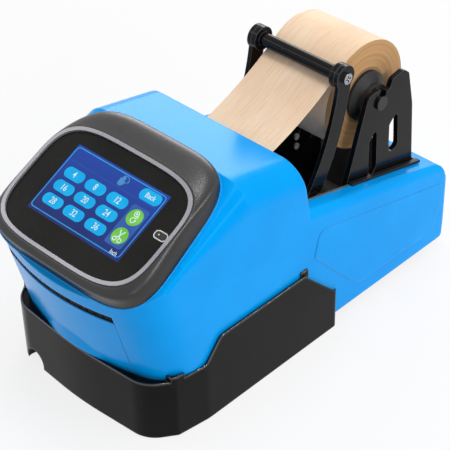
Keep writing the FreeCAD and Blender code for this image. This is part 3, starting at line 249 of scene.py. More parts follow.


# the edge colour in each finish is a painted highlight along its edges
finishes = {
    "blueShell": {"colour": (0, 160, 246), "second": (0, 166, 252), "edgeHighlightColour": (120, 205, 255),
                  "edgeHighlightShare": 0.35, "roughness": (0.2, 0.25), "specular": 0.14, "tint": (96, 186, 255),
                  "grain": 1600.0, "bump": 0.05, "depth": 0.05 * mm, "edgeRadius": 1.5 * mm},
    "trayBlack": {"colour": (15, 14, 14), "second": (21, 20, 20), "edgeHighlightColour": (96, 96, 98),
                  "edgeHighlightShare": 0.45, "roughness": (0.14, 0.2), "specular": 0.09, "grain": 700.0,
                  "bump": 0.05, "depth": 0.08 * mm, "edgeRadius": 2.0 * mm, "edgeWidth": 0.05,
                  "specks": (260.0, 0.05, (60, 60, 62))},
    "lipGloss": {"colour": (13, 13, 13), "second": (19, 18, 18), "edgeHighlightColour": (60, 60, 62),
                 "edgeHighlightShare": 0.2, "roughness": (0.1, 0.18), "specular": 0.9, "grain": 700.0, "bump": 0.03,
                 "depth": 0.05 * mm},
    "bezelGrey": {"colour": (22, 22, 23), "second": (31, 30, 31), "edgeHighlightColour": (90, 90, 92),
                  "edgeHighlightShare": 0.3, "roughness": (0.25, 0.36), "specular": 0.55, "grain": 1400.0,
                  "bump": 0.35, "depth": 0.1 * mm, "edgeRadius": 0.8 * mm},
    "trimSilver": {"colour": (150, 148, 156), "second": (168, 166, 172), "metallic": 0.45,
                   "roughness": (0.3, 0.42), "grain": 2500.0, "edgeRadius": 0.4 * mm,
                   "edgeHighlightColour": (200, 200, 205)},
    "frontGlass": {"colour": (22, 21, 20), "second": (30, 29, 28), "specks": (420.0, 0.22, (72, 70, 66)),
                   "roughness": (0.30, 0.5), "specular": 0.1, "grain": 700.0, "bump": 0.25,
                   "depth": 0.06 * mm},
    # the basket liner is black; this mid-grey is painted light that makes up for light falling in through the
    # opening
    "linerPaintedLight": {"colour": (98, 96, 94), "second": (112, 110, 108), "edgeHighlightColour": (100, 100, 100),
                  "edgeHighlightShare": 0.3, "roughness": (0.3, 0.45), "grain": 900.0, "bump": 0.15,
                  "depth": 0.08 * mm},
    # pale zinc grey made mostly non-metal so the screws stay bright: a painted reflection in place of the
    # metal's own
    "zincScrewPaintedSheen": {"colour": (196, 196, 198), "second": (214, 214, 216), "metallic": 0.3,
                  "roughness": (0.25, 0.35), "grain": 900.0, "edgeRadius": 0.3 * mm,
                  "edgeHighlightColour": (235, 235, 235)},
    "lampLens": {"colour": (22, 20, 22), "second": (40, 32, 36), "roughness": (0.1, 0.2), "grain": 900.0,
                 "edgeHighlightColour": (120, 120, 120)},
    "blackMetal": {"colour": (10, 10, 11), "second": (15, 15, 16), "edgeHighlightColour": (140, 140, 142),
                   "edgeHighlightShare": 0.5, "roughness": (0.12, 0.2), "specular": 0.14, "grain": 800.0,
                   "bump": 0.1, "depth": 0.08 * mm, "edgeRadius": 0.7 * mm,
                   "specks": (300.0, 0.04, (80, 80, 80))},
    "blackPlastic": {"colour": (18, 18, 19), "second": (26, 26, 27), "edgeHighlightColour": (80, 80, 82),
                     "edgeHighlightShare": 0.3, "specular": 0.35, "roughness": (0.4, 0.55), "grain": 900.0,
                     "bump": 0.2, "depth": 0.08 * mm},
    "machinedSteel": {"colour": (172, 174, 176), "second": (190, 191, 193), "metallic": 1.0,
                      "roughness": (0.25, 0.4), "grain": 500.0, "stretch": (8.0, 1.0, 1.0),
                      "edgeHighlightColour": (225, 225, 225), "scratches": (900.0, 60.0, 60.0)},
    "chromeSteel": {"colour": (150, 152, 155), "second": (172, 173, 176), "metallic": 1.0,
                    "roughness": (0.1, 0.2), "grain": 900.0, "edgeRadius": 0.5 * mm,
                    "edgeHighlightColour": (225, 225, 225)},
    "oxideSteel": {"colour": (34, 34, 36), "second": (48, 48, 50), "metallic": 0.6,
                   "roughness": (0.25, 0.35), "grain": 500.0, "stretch": (8.0, 1.0, 1.0),
                   "edgeHighlightColour": (120, 120, 122)},
    "zincSheet": {"colour": (150, 152, 155), "second": (174, 176, 178), "metallic": 1.0,
                  "roughness": (0.3, 0.5), "spread": 60.0, "grain": 400.0, "edgeHighlightColour": (215, 215, 215),
                  "scratches": (60.0, 900.0, 60.0)},
    "blackRubber": {"colour": (22, 22, 22), "second": (31, 31, 31), "roughness": (0.6, 0.8),
                    "grain": 1500.0, "bump": 0.4, "specks": (400.0, 0.1, (60, 60, 60))},
    "rollerRubber": {"colour": (38, 38, 39), "second": (52, 52, 53), "roughness": (0.55, 0.7),
                     "grain": 900.0, "stretch": (1.0, 5.0, 5.0), "bump": 0.3,
                     "specks": (500.0, 0.1, (90, 88, 84))},
    "tankWhite": {"colour": (214, 217, 220), "second": (224, 226, 228), "roughness": (0.3, 0.42),
                  "grain": 900.0, "edgeHighlightColour": (240, 240, 240)},
    "brushFibre": {"colour": (190, 182, 160), "second": (214, 206, 188), "roughness": (0.7, 0.9),
                   "grain": 1800.0, "stretch": (1.0, 1.0, 0.12), "bump": 0.8, "depth": 0.4 * mm},
    "heaterAlloy": {"colour": (186, 187, 190), "second": (200, 200, 203), "metallic": 1.0,
                    "roughness": (0.35, 0.5), "scratches": (60.0, 900.0, 900.0),
                    "edgeHighlightColour": (225, 225, 225)},
    "motorGrey": {"colour": (84, 86, 90), "second": (96, 98, 102), "roughness": (0.35, 0.5), "grain": 700.0,
                  "edgeHighlightColour": (160, 160, 162), "bump": 0.2},
    "boardGreen": {"colour": (18, 84, 48), "second": (26, 104, 60), "roughness": (0.3, 0.4),
                   "spread": 220.0, "specks": (420.0, 0.35, (190, 170, 110))},
    "supplyCase": {"colour": (164, 165, 168), "second": (182, 183, 185), "metallic": 1.0,
                   "roughness": (0.35, 0.5), "scratches": (900.0, 60.0, 60.0),
                   "edgeHighlightColour": (220, 220, 220)},
    "coreBoard": {"colour": (150, 118, 82), "second": (172, 138, 98), "roughness": (0.75, 0.9),
                  "grain": 900.0, "stretch": (0.3, 2.0, 2.0), "bump": 0.5, "depth": 0.2 * mm},
}
materials = {name: makeFinish(name, look) for name, look in finishes.items()}
print("finishes made:", len(materials))


# paper
# the shade colour serves both as painted shade in the creases and as the darker fibre grain
paper = {"light": (250, 224, 194), "tan": (241, 208, 176), "shade": (206, 164, 130), "side": (208, 164, 112),
         "sideDark": (172, 126, 80), "fibre": 1400.0, "layer": 2600.0, "turn": 0.32, "bandShare": 0.8,
         "creaseShadeShare": 0.34, "fibreShare": 0.16, "skin": 0.05}


def makePaper(name, withRings):
    material, tree, shader = startMaterial(name, Roughness=0.62)
    shader.inputs["Specular IOR Level"].default_value = 0.28
    place = objectPlace(tree)
    drawnOut = {"Vector": place, "Rotation": (0.0, 0.0, paper["turn"]), "Scale": (1.0, 0.05, 0.07)}
    turned = addNode(tree, "ShaderNodeMapping", drawnOut).outputs[0]
    broad = {"Vector": place, "Scale": 16.0, "Detail": 2.0}
    bands = addNode(tree, "ShaderNodeTexNoise", broad).outputs["Fac"]
    fine = {"Vector": turned, "Scale": 760.0, "Detail": 4.0, "Distortion": 0.4}
    streaks = addNode(tree, "ShaderNodeTexNoise", fine).outputs["Fac"]
    band = rangeNode(tree, bands, 0.4, 0.64, 0.0, paper["bandShare"])
    colour = mixColour(tree, band, linear(*paper["light"]), linear(*paper["tan"]))
    # fine streaks mixed towards the shade colour: painted shade in the creases
    creaseShade = rangeNode(tree, streaks, 0.48, 0.74, 0.0, paper["creaseShadeShare"])
    colour = mixColour(tree, creaseShade, colour, linear(*paper["shade"]))
    mottle = useGroup(tree, "mottle", Spread=260.0, Grain=paper["fibre"], Stretch=(1.0, 0.25, 1.0))
    fibre = rangeNode(tree, mottle["Grain"], 0.3, 0.7, 0.0, paper["fibreShare"])
    colour = mixColour(tree, fibre, colour, linear(*paper["shade"]))
    height = mathNode(tree, "ADD", mathNode(tree, "MULTIPLY", streaks, 2.0), mottle["Grain"])
    if withRings:
        offset = vectorNode(tree, "SUBTRACT", place, tuple(rollAxis))
        parts = addNode(tree, "ShaderNodeSeparateXYZ", {0: offset}).outputs
        flat = addNode(tree, "ShaderNodeCombineXYZ", {"Y": parts["Y"], "Z": parts["Z"]}).outputs[0]
        radius = vectorNode(tree, "LENGTH", flat, result="Value")
        layers = addNode(tree, "ShaderNodeTexNoise", {"W": radius, "Scale": paper["layer"], "Detail": 3.0},
                         noise_dimensions="1D").outputs["Fac"]
        wide = addNode(tree, "ShaderNodeTexNoise", {"W": radius, "Scale": 210.0, "Detail": 2.0},
                       noise_dimensions="1D").outputs["Fac"]
        layerShare = rangeNode(tree, mathNode(tree, "ADD", layers, wide), 0.75, 1.3, 0.0, 0.8)
        side = mixColour(tree, layerShare, linear(*paper["side"]), linear(*paper["sideDark"]))
        reach = mathNode(tree, "ABSOLUTE", parts["X"])
        onSide = mathNode(tree, "GREATER_THAN", reach, (rollHigh.x - rollLow.x) / 2 - paper["skin"] * mm)
        colour = mixColour(tree, onSide, colour, side)
        height = mathNode(tree, "MULTIPLY_ADD", mathNode(tree, "MULTIPLY", layers, 3.0), onSide, height)
    tree.links.new(colour, shader.inputs["Base Color"])
    bump = addNode(tree, "ShaderNodeBump", {"Strength": 0.25, "Distance": 0.15 * mm, "Height": height})
    tree.links.new(bump.outputs[0], shader.inputs["Normal"])
    return material


materials["kraftWeb"] = makePaper("kraftWeb", False)
materials["kraftRoll"] = makePaper("kraftRoll", True)
print("paper made")


# display and what glows on it
screenPlane = {"back": 138.9, "level": 189.9, "tilt": math.radians(26.5), "lcdFace": -1.2}
displayLook = {"upper": (20, 66, 164), "lower": (14, 36, 104), "rim": (14, 66, 158), "glow": 0.9,
               "halfHeight": 33.5}


def onScreen(u, v, h):
    sine, cosine = math.sin(screenPlane["tilt"]), math.cos(screenPlane["tilt"])
    y = -screenPlane["back"] + v * cosine - h * sine
    z = screenPlane["level"] + v * sine + h * cosine
    return Vector((u * mm, y * mm + hoodEdge, z * mm))


def makeDisplay():
    material, tree, shader = startMaterial("displayBlue", Roughness=0.18)
    shader.inputs["Specular IOR Level"].default_value = 0.2
    shader.inputs["Emission Strength"].default_value = displayLook["glow"]
    offset = vectorNode(tree, "SUBTRACT", objectPlace(tree), tuple(onScreen(0, 0, 0)))
    upSlope = (0.0, math.cos(screenPlane["tilt"]), math.sin(screenPlane["tilt"]))
    height = vectorNode(tree, "DOT_PRODUCT", offset, upSlope, "Value")
    half = displayLook["halfHeight"] * mm
    share = rangeNode(tree, height, -half, half, interpolation_type="SMOOTHSTEP")
    colour = mixColour(tree, share, linear(*displayLook["lower"]), linear(*displayLook["upper"]))
    cloud = useGroup(tree, "mottle", Spread=26.0, Grain=300.0)["Tone"]
    colour = mixColour(tree, rangeNode(tree, cloud, 0.4, 0.7, 0.0, 0.25), colour, linear(*displayLook["rim"]))
    tree.links.new(colour, shader.inputs["Emission Color"])
    shader.inputs["Base Color"].default_value = linear(10, 16, 40)
    return material


def makeGlow(name, colour, second, strength=0.92):
    material, tree, shader = startMaterial(name, Roughness=0.2)
    shader.inputs["Specular IOR Level"].default_value = 0.1
    shader.inputs["Base Color"].default_value = linear(12, 14, 18)
    shader.inputs["Emission Strength"].default_value = strength
    tone = useGroup(tree, "mottle", Spread=90.0, Grain=500.0)["Tone"]
    mixed = mixColour(tree, rangeNode(tree, tone, 0.35, 0.65), linear(*colour), linear(*second))
    tree.links.new(mixed, shader.inputs["Emission Color"])
    return material


materials["displayBlue"] = makeDisplay()
glows = {
    "keyCyan": ((0, 172, 240), (14, 186, 246)),
    "lineCyan": ((48, 148, 226), (66, 170, 240)),
    "headerLine": ((44, 84, 176), (52, 96, 188)),
    "panelBlue": ((52, 92, 170), (60, 102, 178)),
    "discGreen": ((112, 200, 70), (128, 214, 84)),
    "figureWhite": ((218, 240, 248), (236, 250, 252)),
    "iconPale": ((70, 140, 200), (92, 160, 214)),
}
for glowName, (firstTone, secondTone) in glows.items():
    materials[glowName] = makeGlow(glowName, firstTone, secondTone)
lampLine = {"colour": (214, 214, 216), "second": (232, 232, 234), "roughness": (0.4, 0.5),
            "edgeHighlightColour": (240, 240, 240)}
materials["lampLine"] = makeFinish("lampLine", lampLine)
print("display and glows made:", len(glows) + 1)


# which finish each CAD piece has
finishOf = {
    "blueShell": ("main_cover", "front_door"),
    "trayBlack": ("base_tray",),
    "bezelGrey": ("screen_bezel",),
    "trimSilver": ("trim_ring",),
    "frontGlass": ("touch_glass",),
    "displayBlue": ("display_module",),
    "lampLens": ("status_lamp",),
    "blackMetal": ("right_side_plate", "left_side_plate", "right_arm", "left_arm", "arm_pivot_pins",
                   "guide_bar"),
    "linerPaintedLight": ("basket_liner",),
    "blackPlastic": ("rim_strips", "left_hub", "right_hub", "feed_pulley", "motor_pulley", "brush_carrier",
                     "exit_bristles", "power_inlet", "switch_frame", "power_rocker", "blade_guides"),
    "oxideSteel": ("roll_spindle",),
    "machinedSteel": ("door_hinge_rod", "bar_shaft", "tie_rods", "feed_bearings", "feed_shaft",
                      "pinch_pivot_rod", "pinch_springs", "fixed_blade", "moving_blade"),
    "chromeSteel": ("bar_screws",),
    "zincScrewPaintedSheen": ("plate_screws",),
    "zincSheet": ("chassis_plate", "door_brackets", "left_cheek", "right_cheek", "pinch_lever", "tape_guides",
                  "blade_carrier", "pressure_plate"),
    "blackRubber": ("rubber_feet", "drive_belt"),
    "rollerRubber": ("feed_roller", "pinch_roller"),
    "kraftWeb": ("tape_web",),
    "kraftRoll": ("tape_roll",),
    "coreBoard": ("tape_core",),
    "tankWhite": ("water_tank",),
    "brushFibre": ("wetting_brushes",),
    "heaterAlloy": ("plate_heater",),
    "motorGrey": ("feed_motor", "cutter_solenoid"),
    "boardGreen": ("control_board",),
    "supplyCase": ("power_supply",),
}
for finishName, members in finishOf.items():
    for member in members:
        nodes[member].data.materials.clear()
        nodes[member].data.materials.append(materials[finishName])
bare = sorted(set(nodes) - {member for members in finishOf.values() for member in members})
print("CAD pieces finished, without a finish:", bare)


# mesh helpers
def addPiece(name, vertices, faces, material, body, smooth=False):
    mesh = bpy.data.meshes.new(name)
    mesh.from_pydata([tuple(v) for v in vertices], [], faces)
    mesh.validate()
    made = bpy.data.objects.new(name, mesh)
    bpy.context.scene.collection.objects.link(made)
    work = bmesh.new()
    work.from_mesh(mesh)
    bmesh.ops.recalc_face_normals(work, faces=work.faces)
    work.to_mesh(mesh)
    work.free()
    mesh.materials.append(materials[material])
    for face in mesh.polygons:
        face.use_smooth = smooth
    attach(made, body)
    return made


def roundedLoop(halfU, halfV, radius, u=0.0, v=0.0, steps=8):
    points = []
    for cornerU, cornerV, start in ((1, 1, 0), (-1, 1, 90), (-1, -1, 180), (1, -1, 270)):
        for i in range(steps + 1):
            turn = math.radians(start + 90 * i / steps)
            points.append((u + cornerU * (halfU - radius) + radius * math.cos(turn),
                           v + cornerV * (halfV - radius) + radius * math.sin(turn)))
    return points


def ringLoop(radius, u=0.0, v=0.0, steps=40, start=0.0, sweep=360.0):
    return [(u + radius * math.cos(math.radians(start + sweep * i / steps)),
             v + radius * math.sin(math.radians(start + sweep * i / steps))) for i in range(steps)]


class Slab:  # thin flat shapes on the screen's plane, gathered into one mesh
    def __init__(self, low, high):
        self.low, self.high = low, high
        self.vertices, self.faces = [], []

    def fill(self, loop):
        first = len(self.vertices)
        count = len(loop)
        for h in (self.low, self.high):
            self.vertices += [onScreen(u, v, h) for u, v in loop]
        self.faces.append([first + count + i for i in range(count)])
        self.faces.append([first + i for i in range(count)][::-1])
        for i in range(count):
            following = (i + 1) % count
            self.faces.append([first + i, first + following, first + count + following, first + count + i])

    def stroke(self, line, width, closed=False):
        first = len(self.vertices)
        count = len(line)
        sides = []
        for i in range(count):
            before = Vector(line[i - 1] if i or closed else line[i])
            after = Vector(line[(i + 1) % count] if i < count - 1 or closed else line[i])
            along = (after - before).normalized()
            normal = Vector((-along.y, along.x)) * width / 2
            sides.append((Vector(line[i]) + normal, Vector(line[i]) - normal))
        for h in (self.low, self.high):
            for left, right in sides:
                self.vertices += [onScreen(*left, h), onScreen(*right, h)]
        top = first + 2 * count
        spans = range(count if closed else count - 1)
        for i in spans:
            a, b = 2 * i, 2 * ((i + 1) % count)
            self.faces.append([top + a, top + b, top + b + 1, top + a + 1])
            self.faces.append([first + a, first + a + 1, first + b + 1, first + b])
            self.faces.append([first + a, first + b, top + b, top + a])
            self.faces.append([first + a + 1, top + a + 1, top + b + 1, first + b + 1])
        if not closed:
            for end in (0, 2 * count - 2):
                self.faces.append([first + end, top + end, top + end + 1, first + end + 1])

    def piece(self, name, material):
        return addPiece(name, self.vertices, self.faces, material, "machine")


def lettering(name, text, u, v, size, squeeze, weight, low, high, material, body="machine", slot="display"):
    curve = bpy.data.curves.new(name + "Curve", "FONT")
    curve.body = text
    curve.size = size
    curve.align_x = "CENTER"
    curve.align_y = "CENTER"
    curve.offset = weight
    curve.resolution_u = 4
    holder = bpy.data.objects.new(name + "Curve", curve)
    bpy.context.scene.collection.objects.link(holder)
    bpy.context.view_layer.update()
    flat = bpy.data.meshes.new_from_object(holder.evaluated_get(bpy.context.evaluated_depsgraph_get()))
    bpy.data.objects.remove(holder)
    work = bmesh.new()
    work.from_mesh(flat)
    bmesh.ops.remove_doubles(work, verts=work.verts, dist=0.01)
    raised = bmesh.ops.extrude_face_region(work, geom=work.faces[:])
    for element in raised["geom"]:
        if isinstance(element, bmesh.types.BMVert):
            element.co.z = 1.0
    for vertex in work.verts:
        h = high if vertex.co.z > 0.5 else low
        vertex.co = onScreen(u + vertex.co.x * squeeze, v + vertex.co.y, h)
    bmesh.ops.recalc_face_normals(work, faces=work.faces)
    mesh = bpy.data.meshes.new(name)
    work.to_mesh(mesh)
    work.free()
    mesh.materials.append(materials[material])
    made = bpy.data.objects.new(name, mesh)
    bpy.context.scene.collection.objects.link(made)
    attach(made, body)
    return made


# picture on the display
picture = {  # the figures and the two words are given as size, squeeze across and weight
    "keyHalf": (10.9, 5.15, 4.9), "keyColumns": (-36.3, -11.4, 14.3), "keyRows": (8.9, -4.7, -18.7),
    "backKey": (37.9, 24.9), "backHalf": (11.3, 5.3, 5.0), "panel": (38.6, -5.3, 9.3, 19.4, 2.6),
    "frame": (-52.4, 51.4, -30.8, 31.4), "frameCorner": 3.4, "frameWidth": 0.85, "headerLevel": 18.6,
    "headerInset": (3.5, 3.0), "headerWidth": 0.4, "discRadius": 7.6, "discs": ((38.7, 4.1), (38.7, -14.6)),
    "hand": (6.4, 24.6), "unit": (44.4, -28.7), "unitHalf": 5.2, "strokeWidth": 0.8,
    "figures": (8.2, 0.78, 0.04), "backWord": (6.6, 0.86, 0.03), "unitWord": (5.4, 0.84, 0.0),
    "reelRing": 2.2, "reelHub": 0.9, "reelMiddle": (-0.4, 3.4), "reelLine": 0.75,
    "handleRing": 1.7, "handleMiddle": (2.6, -3.7), "fingerHalf": 0.52, "fingerCorner": 0.5,
}
pictureLayers = {  # under side and top of each layer, from the face of the display
    "keys": (-0.1, 0.1), "frame": (-0.1, 0.06), "header": (-0.1, 0.05), "panel": (-0.1, 0.05),
    "discs": (0.0, 0.1), "icons": (0.0, 0.15), "hand": (-0.05, 0.08), "figures": (0.0, 0.16),
    "unit": (0.0, 0.1),
}


def layerHeights(name):
    low, high = pictureLayers[name]
    return screenPlane["lcdFace"] + low, screenPlane["lcdFace"] + high


def placed(u, v, points):
    return [(u + du, v + dv) for du, dv in points]


def drawKeys():
    keys = Slab(*layerHeights("keys"))
    for column in picture["keyColumns"]:
        for row in picture["keyRows"]:
            keys.fill(roundedLoop(*picture["keyHalf"], column, row))
    keys.fill(roundedLoop(*picture["backHalf"], *picture["backKey"]))
    keys.piece("screen_keys", "keyCyan")


def drawFrame():  # a rounded line, its lower right corner cut short under the word, and the header's line
    left, right, low, high = picture["frame"]
    corner = picture["frameCorner"]
    line = roundedLoop((right - left) / 2, (high - low) / 2, corner, (left + right) / 2, (low + high) / 2)
    wordStart = picture["unit"][0] - picture["unitHalf"]
    kept = [p for p in line if not (p[1] < low + 0.1 and p[0] > wordStart)]
    start = max(range(len(kept)), key=lambda i: (kept[i][1] < low + 1.5, kept[i][0]))  # in that corner
    border = Slab(*layerHeights("frame"))
    border.stroke(kept[start:] + kept[:start], picture["frameWidth"])
    border.piece("screen_frame_line", "lineCyan")
    header = Slab(*layerHeights("header"))
    leftInset, rightInset = picture["headerInset"]
    ends = [(left + leftInset, picture["headerLevel"]), (right - rightInset, picture["headerLevel"])]
    header.stroke(ends, picture["headerWidth"])
    header.piece("screen_header_line", "headerLine")


def drawPanel():
    panel = Slab(*layerHeights("panel"))
    middleU, middleV, halfU, halfV, radius = picture["panel"]
    panel.fill(roundedLoop(halfU, halfV, radius, middleU, middleV))
    panel.piece("screen_panel", "panelBlue")
    discs = Slab(*layerHeights("discs"))
    for u, v in picture["discs"]:
        discs.fill(ringLoop(picture["discRadius"], u, v))
    discs.piece("screen_discs", "discGreen")


def drawIcons():  # a reel of tape on the upper disc and scissors on the lower one
    icons = Slab(*layerHeights("icons"))
    (reelU, reelV), (cutU, cutV) = picture["discs"]
    [(ringU, ringV)] = placed(reelU, reelV, [picture["reelMiddle"]])
    icons.stroke(ringLoop(picture["reelRing"], ringU, ringV, 24), picture["reelLine"], True)
    icons.fill(ringLoop(picture["reelHub"], ringU, ringV, 14))
    tail = ((1.6, 2.6), (2.6, 0.9), (1.4, -0.2), (-0.9, -0.4), (-2.3, -1.6), (-2.0, -3.6), (-0.2, -5.0),
            (1.8, -4.2), (2.4, -2.4))
    icons.stroke(placed(reelU, reelV, tail), picture["strokeWidth"])
    icons.fill(placed(reelU, reelV, ((3.4, -2.7), (2.3, -0.9), (1.2, -2.7))))
    blade = ((1.9, -2.2), (1.1, -2.6), (-2.9, 4.6), (-2.5, 5.2), (-1.7, 4.6))
    handleU, handleV = picture["handleMiddle"]
    for side in (-1, 1):
        handle = ringLoop(picture["handleRing"], cutU + side * handleU, cutV + handleV, 24)
        icons.stroke(handle, picture["strokeWidth"], True)
        icons.fill(placed(cutU, cutV, [(side * du, dv) for du, dv in blade]))
    icons.piece("screen_icons", "figureWhite")


def drawHand():  # palm, four fingers, thumb and a turning arrow
    u, v = picture["hand"]
    hand = Slab(*layerHeights("hand"))
    palm = ((-4.4, -2.6), (-3.2, -4.2), (-0.6, -4.6), (1.6, -2.8), (2.4, -0.2), (1.4, 0.6), (-3.0, 0.4))
    hand.fill(placed(u, v, palm))
    half, corner = picture["fingerHalf"], picture["fingerCorner"]
    for du, length in ((-3.5, 1.4), (-2.2, 2.6), (-0.9, 2.9), (0.4, 2.4)):
        hand.fill(roundedLoop(half, 0.5 + length, corner, u + du, v - 0.3 + length * 0.62, 4))
    hand.fill(placed(u, v, ((1.6, -2.2), (3.6, 0.2), (3.0, 0.9), (0.8, -0.6))))
    hand.stroke(ringLoop(4.6, u + 0.4, v + 0.9, 22, 12, 118), 0.6)
    hand.fill(placed(u, v, ((5.6, 1.9), (4.6, -0.1), (3.9, 2.1))))
    hand.piece("screen_hand", "iconPale")


def drawWords():
    low, high = layerHeights("figures")
    labels = [str(4 * (1 + column + 3 * row)) for row in range(3) for column in range(3)]
    for i, label in enumerate(labels):
        u, v = picture["keyColumns"][i % 3], picture["keyRows"][i // 3]
        lettering("screen_figure_" + label, label, u, v, *picture["figures"], low, high, "figureWhite")
    lettering("screen_word_back", "Back", *picture["backKey"], *picture["backWord"], low, high, "figureWhite")
    low, high = layerHeights("unit")
    lettering("screen_word_inch", "Inch", *picture["unit"], *picture["unitWord"], low, high, "figureWhite")


for draw in (drawKeys, drawFrame, drawPanel, drawIcons, drawHand, drawWords):
    draw()
print("display picture drawn")


# lamp outline, with two painted glints inside it, the right one glowing red
lampLook = {"u": 70.0, "v": 2.1, "halfLength": 6.3, "halfWidth": 3.5, "cornerLess": 0.4, "line": 0.95,
            "face": -0.7, "sunk": 0.15, "lineLift": 0.12, "spotLift": 0.08, "spotRadius": 0.75,
            "leftSpot": -2.3, "rightSpot": 2.0, "spotRise": 0.2}


def makeLampOutline():
    under = lampLook["face"] - lampLook["sunk"]
    outline = Slab(under, lampLook["face"] + lampLook["lineLift"])
    corner = lampLook["halfWidth"] - lampLook["cornerLess"]
    loop = roundedLoop(lampLook["halfLength"], lampLook["halfWidth"], corner, lampLook["u"], lampLook["v"])
    outline.stroke(loop, lampLook["line"], True)
    outline.piece("lamp_outline", "lampLine")
    # the two spots are painted glints: a white one and a glowing red one
    spots = (("lamp_glint_left", "leftSpot", "lampLine"), ("lamp_glint_right", "rightSpot", "lampGlint"))
    for name, offset, tone in spots:
        spot = Slab(under, lampLook["face"] + lampLook["spotLift"])
        u, v = lampLook["u"] + lampLook[offset], lampLook["v"] + lampLook["spotRise"]
        spot.fill(ringLoop(lampLook["spotRadius"], u, v, 18))
        spot.piece(name, tone)


materials["lampGlint"] = makeGlow("lampGlint", (120, 60, 78), (150, 84, 98), 0.6)
makeLampOutline()
print("lamp outline made")


# raised bead where the screen pod meets the housing
bead = {"radius": 0.75, "halfU": 90.0, "halfV": 72.6, "offset": 6.7, "power": 4.5, "narrowing": 0.0011,
        "drop": 17.5, "under": 0.8, "probe": -60.0, "reach": 60.0, "out": 0.25, "steps": 180, "sides": 8,
        "smoothing": 2}


def podPoint(turn, grow, h):
    across, up = math.cos(turn), math.sin(turn)
    size = (abs(across) ** bead["power"] + abs(up) ** bead["power"]) ** (-1 / bead["power"])
    v = (bead["halfV"] + grow) * size * up
    u = (bead["halfU"] + grow) * size * across * (1 - bead["narrowing"] * (v + bead["halfV"] / 2))
    return onScreen(u, v + bead["offset"], h)


def surfaceTree(name):
    mesh = nodes[name].data
    return BVHTree.FromPolygons([v.co for v in mesh.vertices], [p.vertices for p in mesh.polygons])


def tube(name, centres, radius, material, body, sides=8, closed=True):
    square = Vector((0, -math.sin(screenPlane["tilt"]), math.cos(screenPlane["tilt"])))  # off the screen
    vertices, faces = [], []
    count = len(centres)
    for i in range(count):
        before = centres[i - 1] if i or closed else centres[i]
        after = centres[(i + 1) % count] if i < count - 1 or closed else centres[i]
        along = (after - before).normalized()
        side = along.cross(square).normalized()
        up = side.cross(along)
        for k in range(sides):
            turn = 2 * math.pi * k / sides
            vertices.append(centres[i] + (side * math.cos(turn) + up * math.sin(turn)) * radius)
    for i in range(count if closed else count - 1):
        for k in range(sides):
            a, b = i * sides, ((i + 1) % count) * sides
            faces.append([a + k, a + (k + 1) % sides, b + (k + 1) % sides, b + k])
    if not closed:
        faces.append(list(range(sides))[::-1])
        faces.append([(count - 1) * sides + k for k in range(sides)])
    return addPiece(name, vertices, faces, material, body, True)


def makeBead():
    bezel = surfaceTree("screen_bezel")
    up = (onScreen(0, 0, 1) - onScreen(0, 0, 0)).normalized()
    centres = []
    for i in range(bead["steps"]):
        turn = 2 * math.pi * (i + 0.5) / bead["steps"]
        start = podPoint(turn, -bead["under"], bead["probe"])
        hit = bezel.ray_cast(start, up, bead["reach"] * mm)[0]  # foot of the pod's wall
        height = (hit - onScreen(0, 0, 0)).dot(up) / mm if hit else -bead["drop"]
        centres.append(podPoint(turn, bead["out"], height))
    count = len(centres)
    for _ in range(bead["smoothing"]):
        centres = [(centres[i - 1] + centres[i] * 2 + centres[(i + 1) % count]) / 4 for i in range(count)]
    tube("pod_bead", centres, bead["radius"] * mm, "blueShell", "machine", bead["sides"])


makeBead()
print("bead made")


# rolled lip along the tray's outer rim
trayLip = {"level": 45.0, "upward": 0.5, "middle": -71.0, "inset": 1.1, "rise": 0.2, "radius": 1.1,
           "least": 3, "sides": 10}


def rimEdges(mesh):  # edges between the rim's top and its outer wall, as start -> (end, outward)
    top, wall = set(), {}
    for face in mesh.polygons:
        keys = [tuple(round(c, 5) for c in mesh.vertices[v].co) for v in face.vertices]
        spans = list(zip(keys, keys[1:] + keys[:1]))
        if face.normal.z > trayLip["upward"] and min(key[2] for key in keys) > trayLip["level"] * mm:
            top.update(spans)
        elif abs(face.normal.z) < trayLip["upward"]:
            wall.update({(b, a): face.normal.copy() for a, b in spans})
    found = {}
    for a, b in top:
        outward = wall.get((a, b))
        if outward and outward.x * a[0] + outward.y * (a[1] - trayLip["middle"] * mm) > 0:
            found[a] = (b, outward)
    return found


def makeTrayLip():
    edges = rimEdges(nodes["base_tray"].data)
    ends = {b for b, outward in edges.values()}
    starts = sorted(set(edges) - ends) or sorted(edges)[:1]
    made = 0
    for start in starts:
        line, here = [], start
        while here in edges:
            following, outward = edges.pop(here)
            line.append((Vector(here), outward))
            here = following
        line.append((Vector(here), line[-1][1]))
        if len(line) < trayLip["least"]:
            continue
        centres = []
        for k, (point, outward) in enumerate(line):
            normal = (outward + line[max(k - 1, 0)][1]).normalized()
            centres.append(point - normal * trayLip["inset"] * mm + Vector((0, 0, trayLip["rise"] * mm)))
        made += 1
        tube("tray_lip_" + str(made), centres, trayLip["radius"] * mm, "lipGloss", "machine",
             trayLip["sides"], False)
    print("tray lip:", made, "runs")


makeTrayLip()


# bristles in the exit slot
bristles = {"left": -73.5, "right": 60.5, "pitch": 0.62, "top": 130.6, "bottom": 122.75, "rows": 3,
            "thick": 0.36, "taper": (1.0, 0.85, 0.5), "inset": 1.1, "rowStep": 1.3, "lean": 0.245,
            "faceLevel": 131.5, "seed": 7, "shorter": 1.5, "strayRow": 0.3, "strayRoot": 0.4, "strayTip": 1.2,
            "strayBend": 0.4, "tipBack": (-0.2, 0.5), "bendBack": (-0.2, 0.3)}


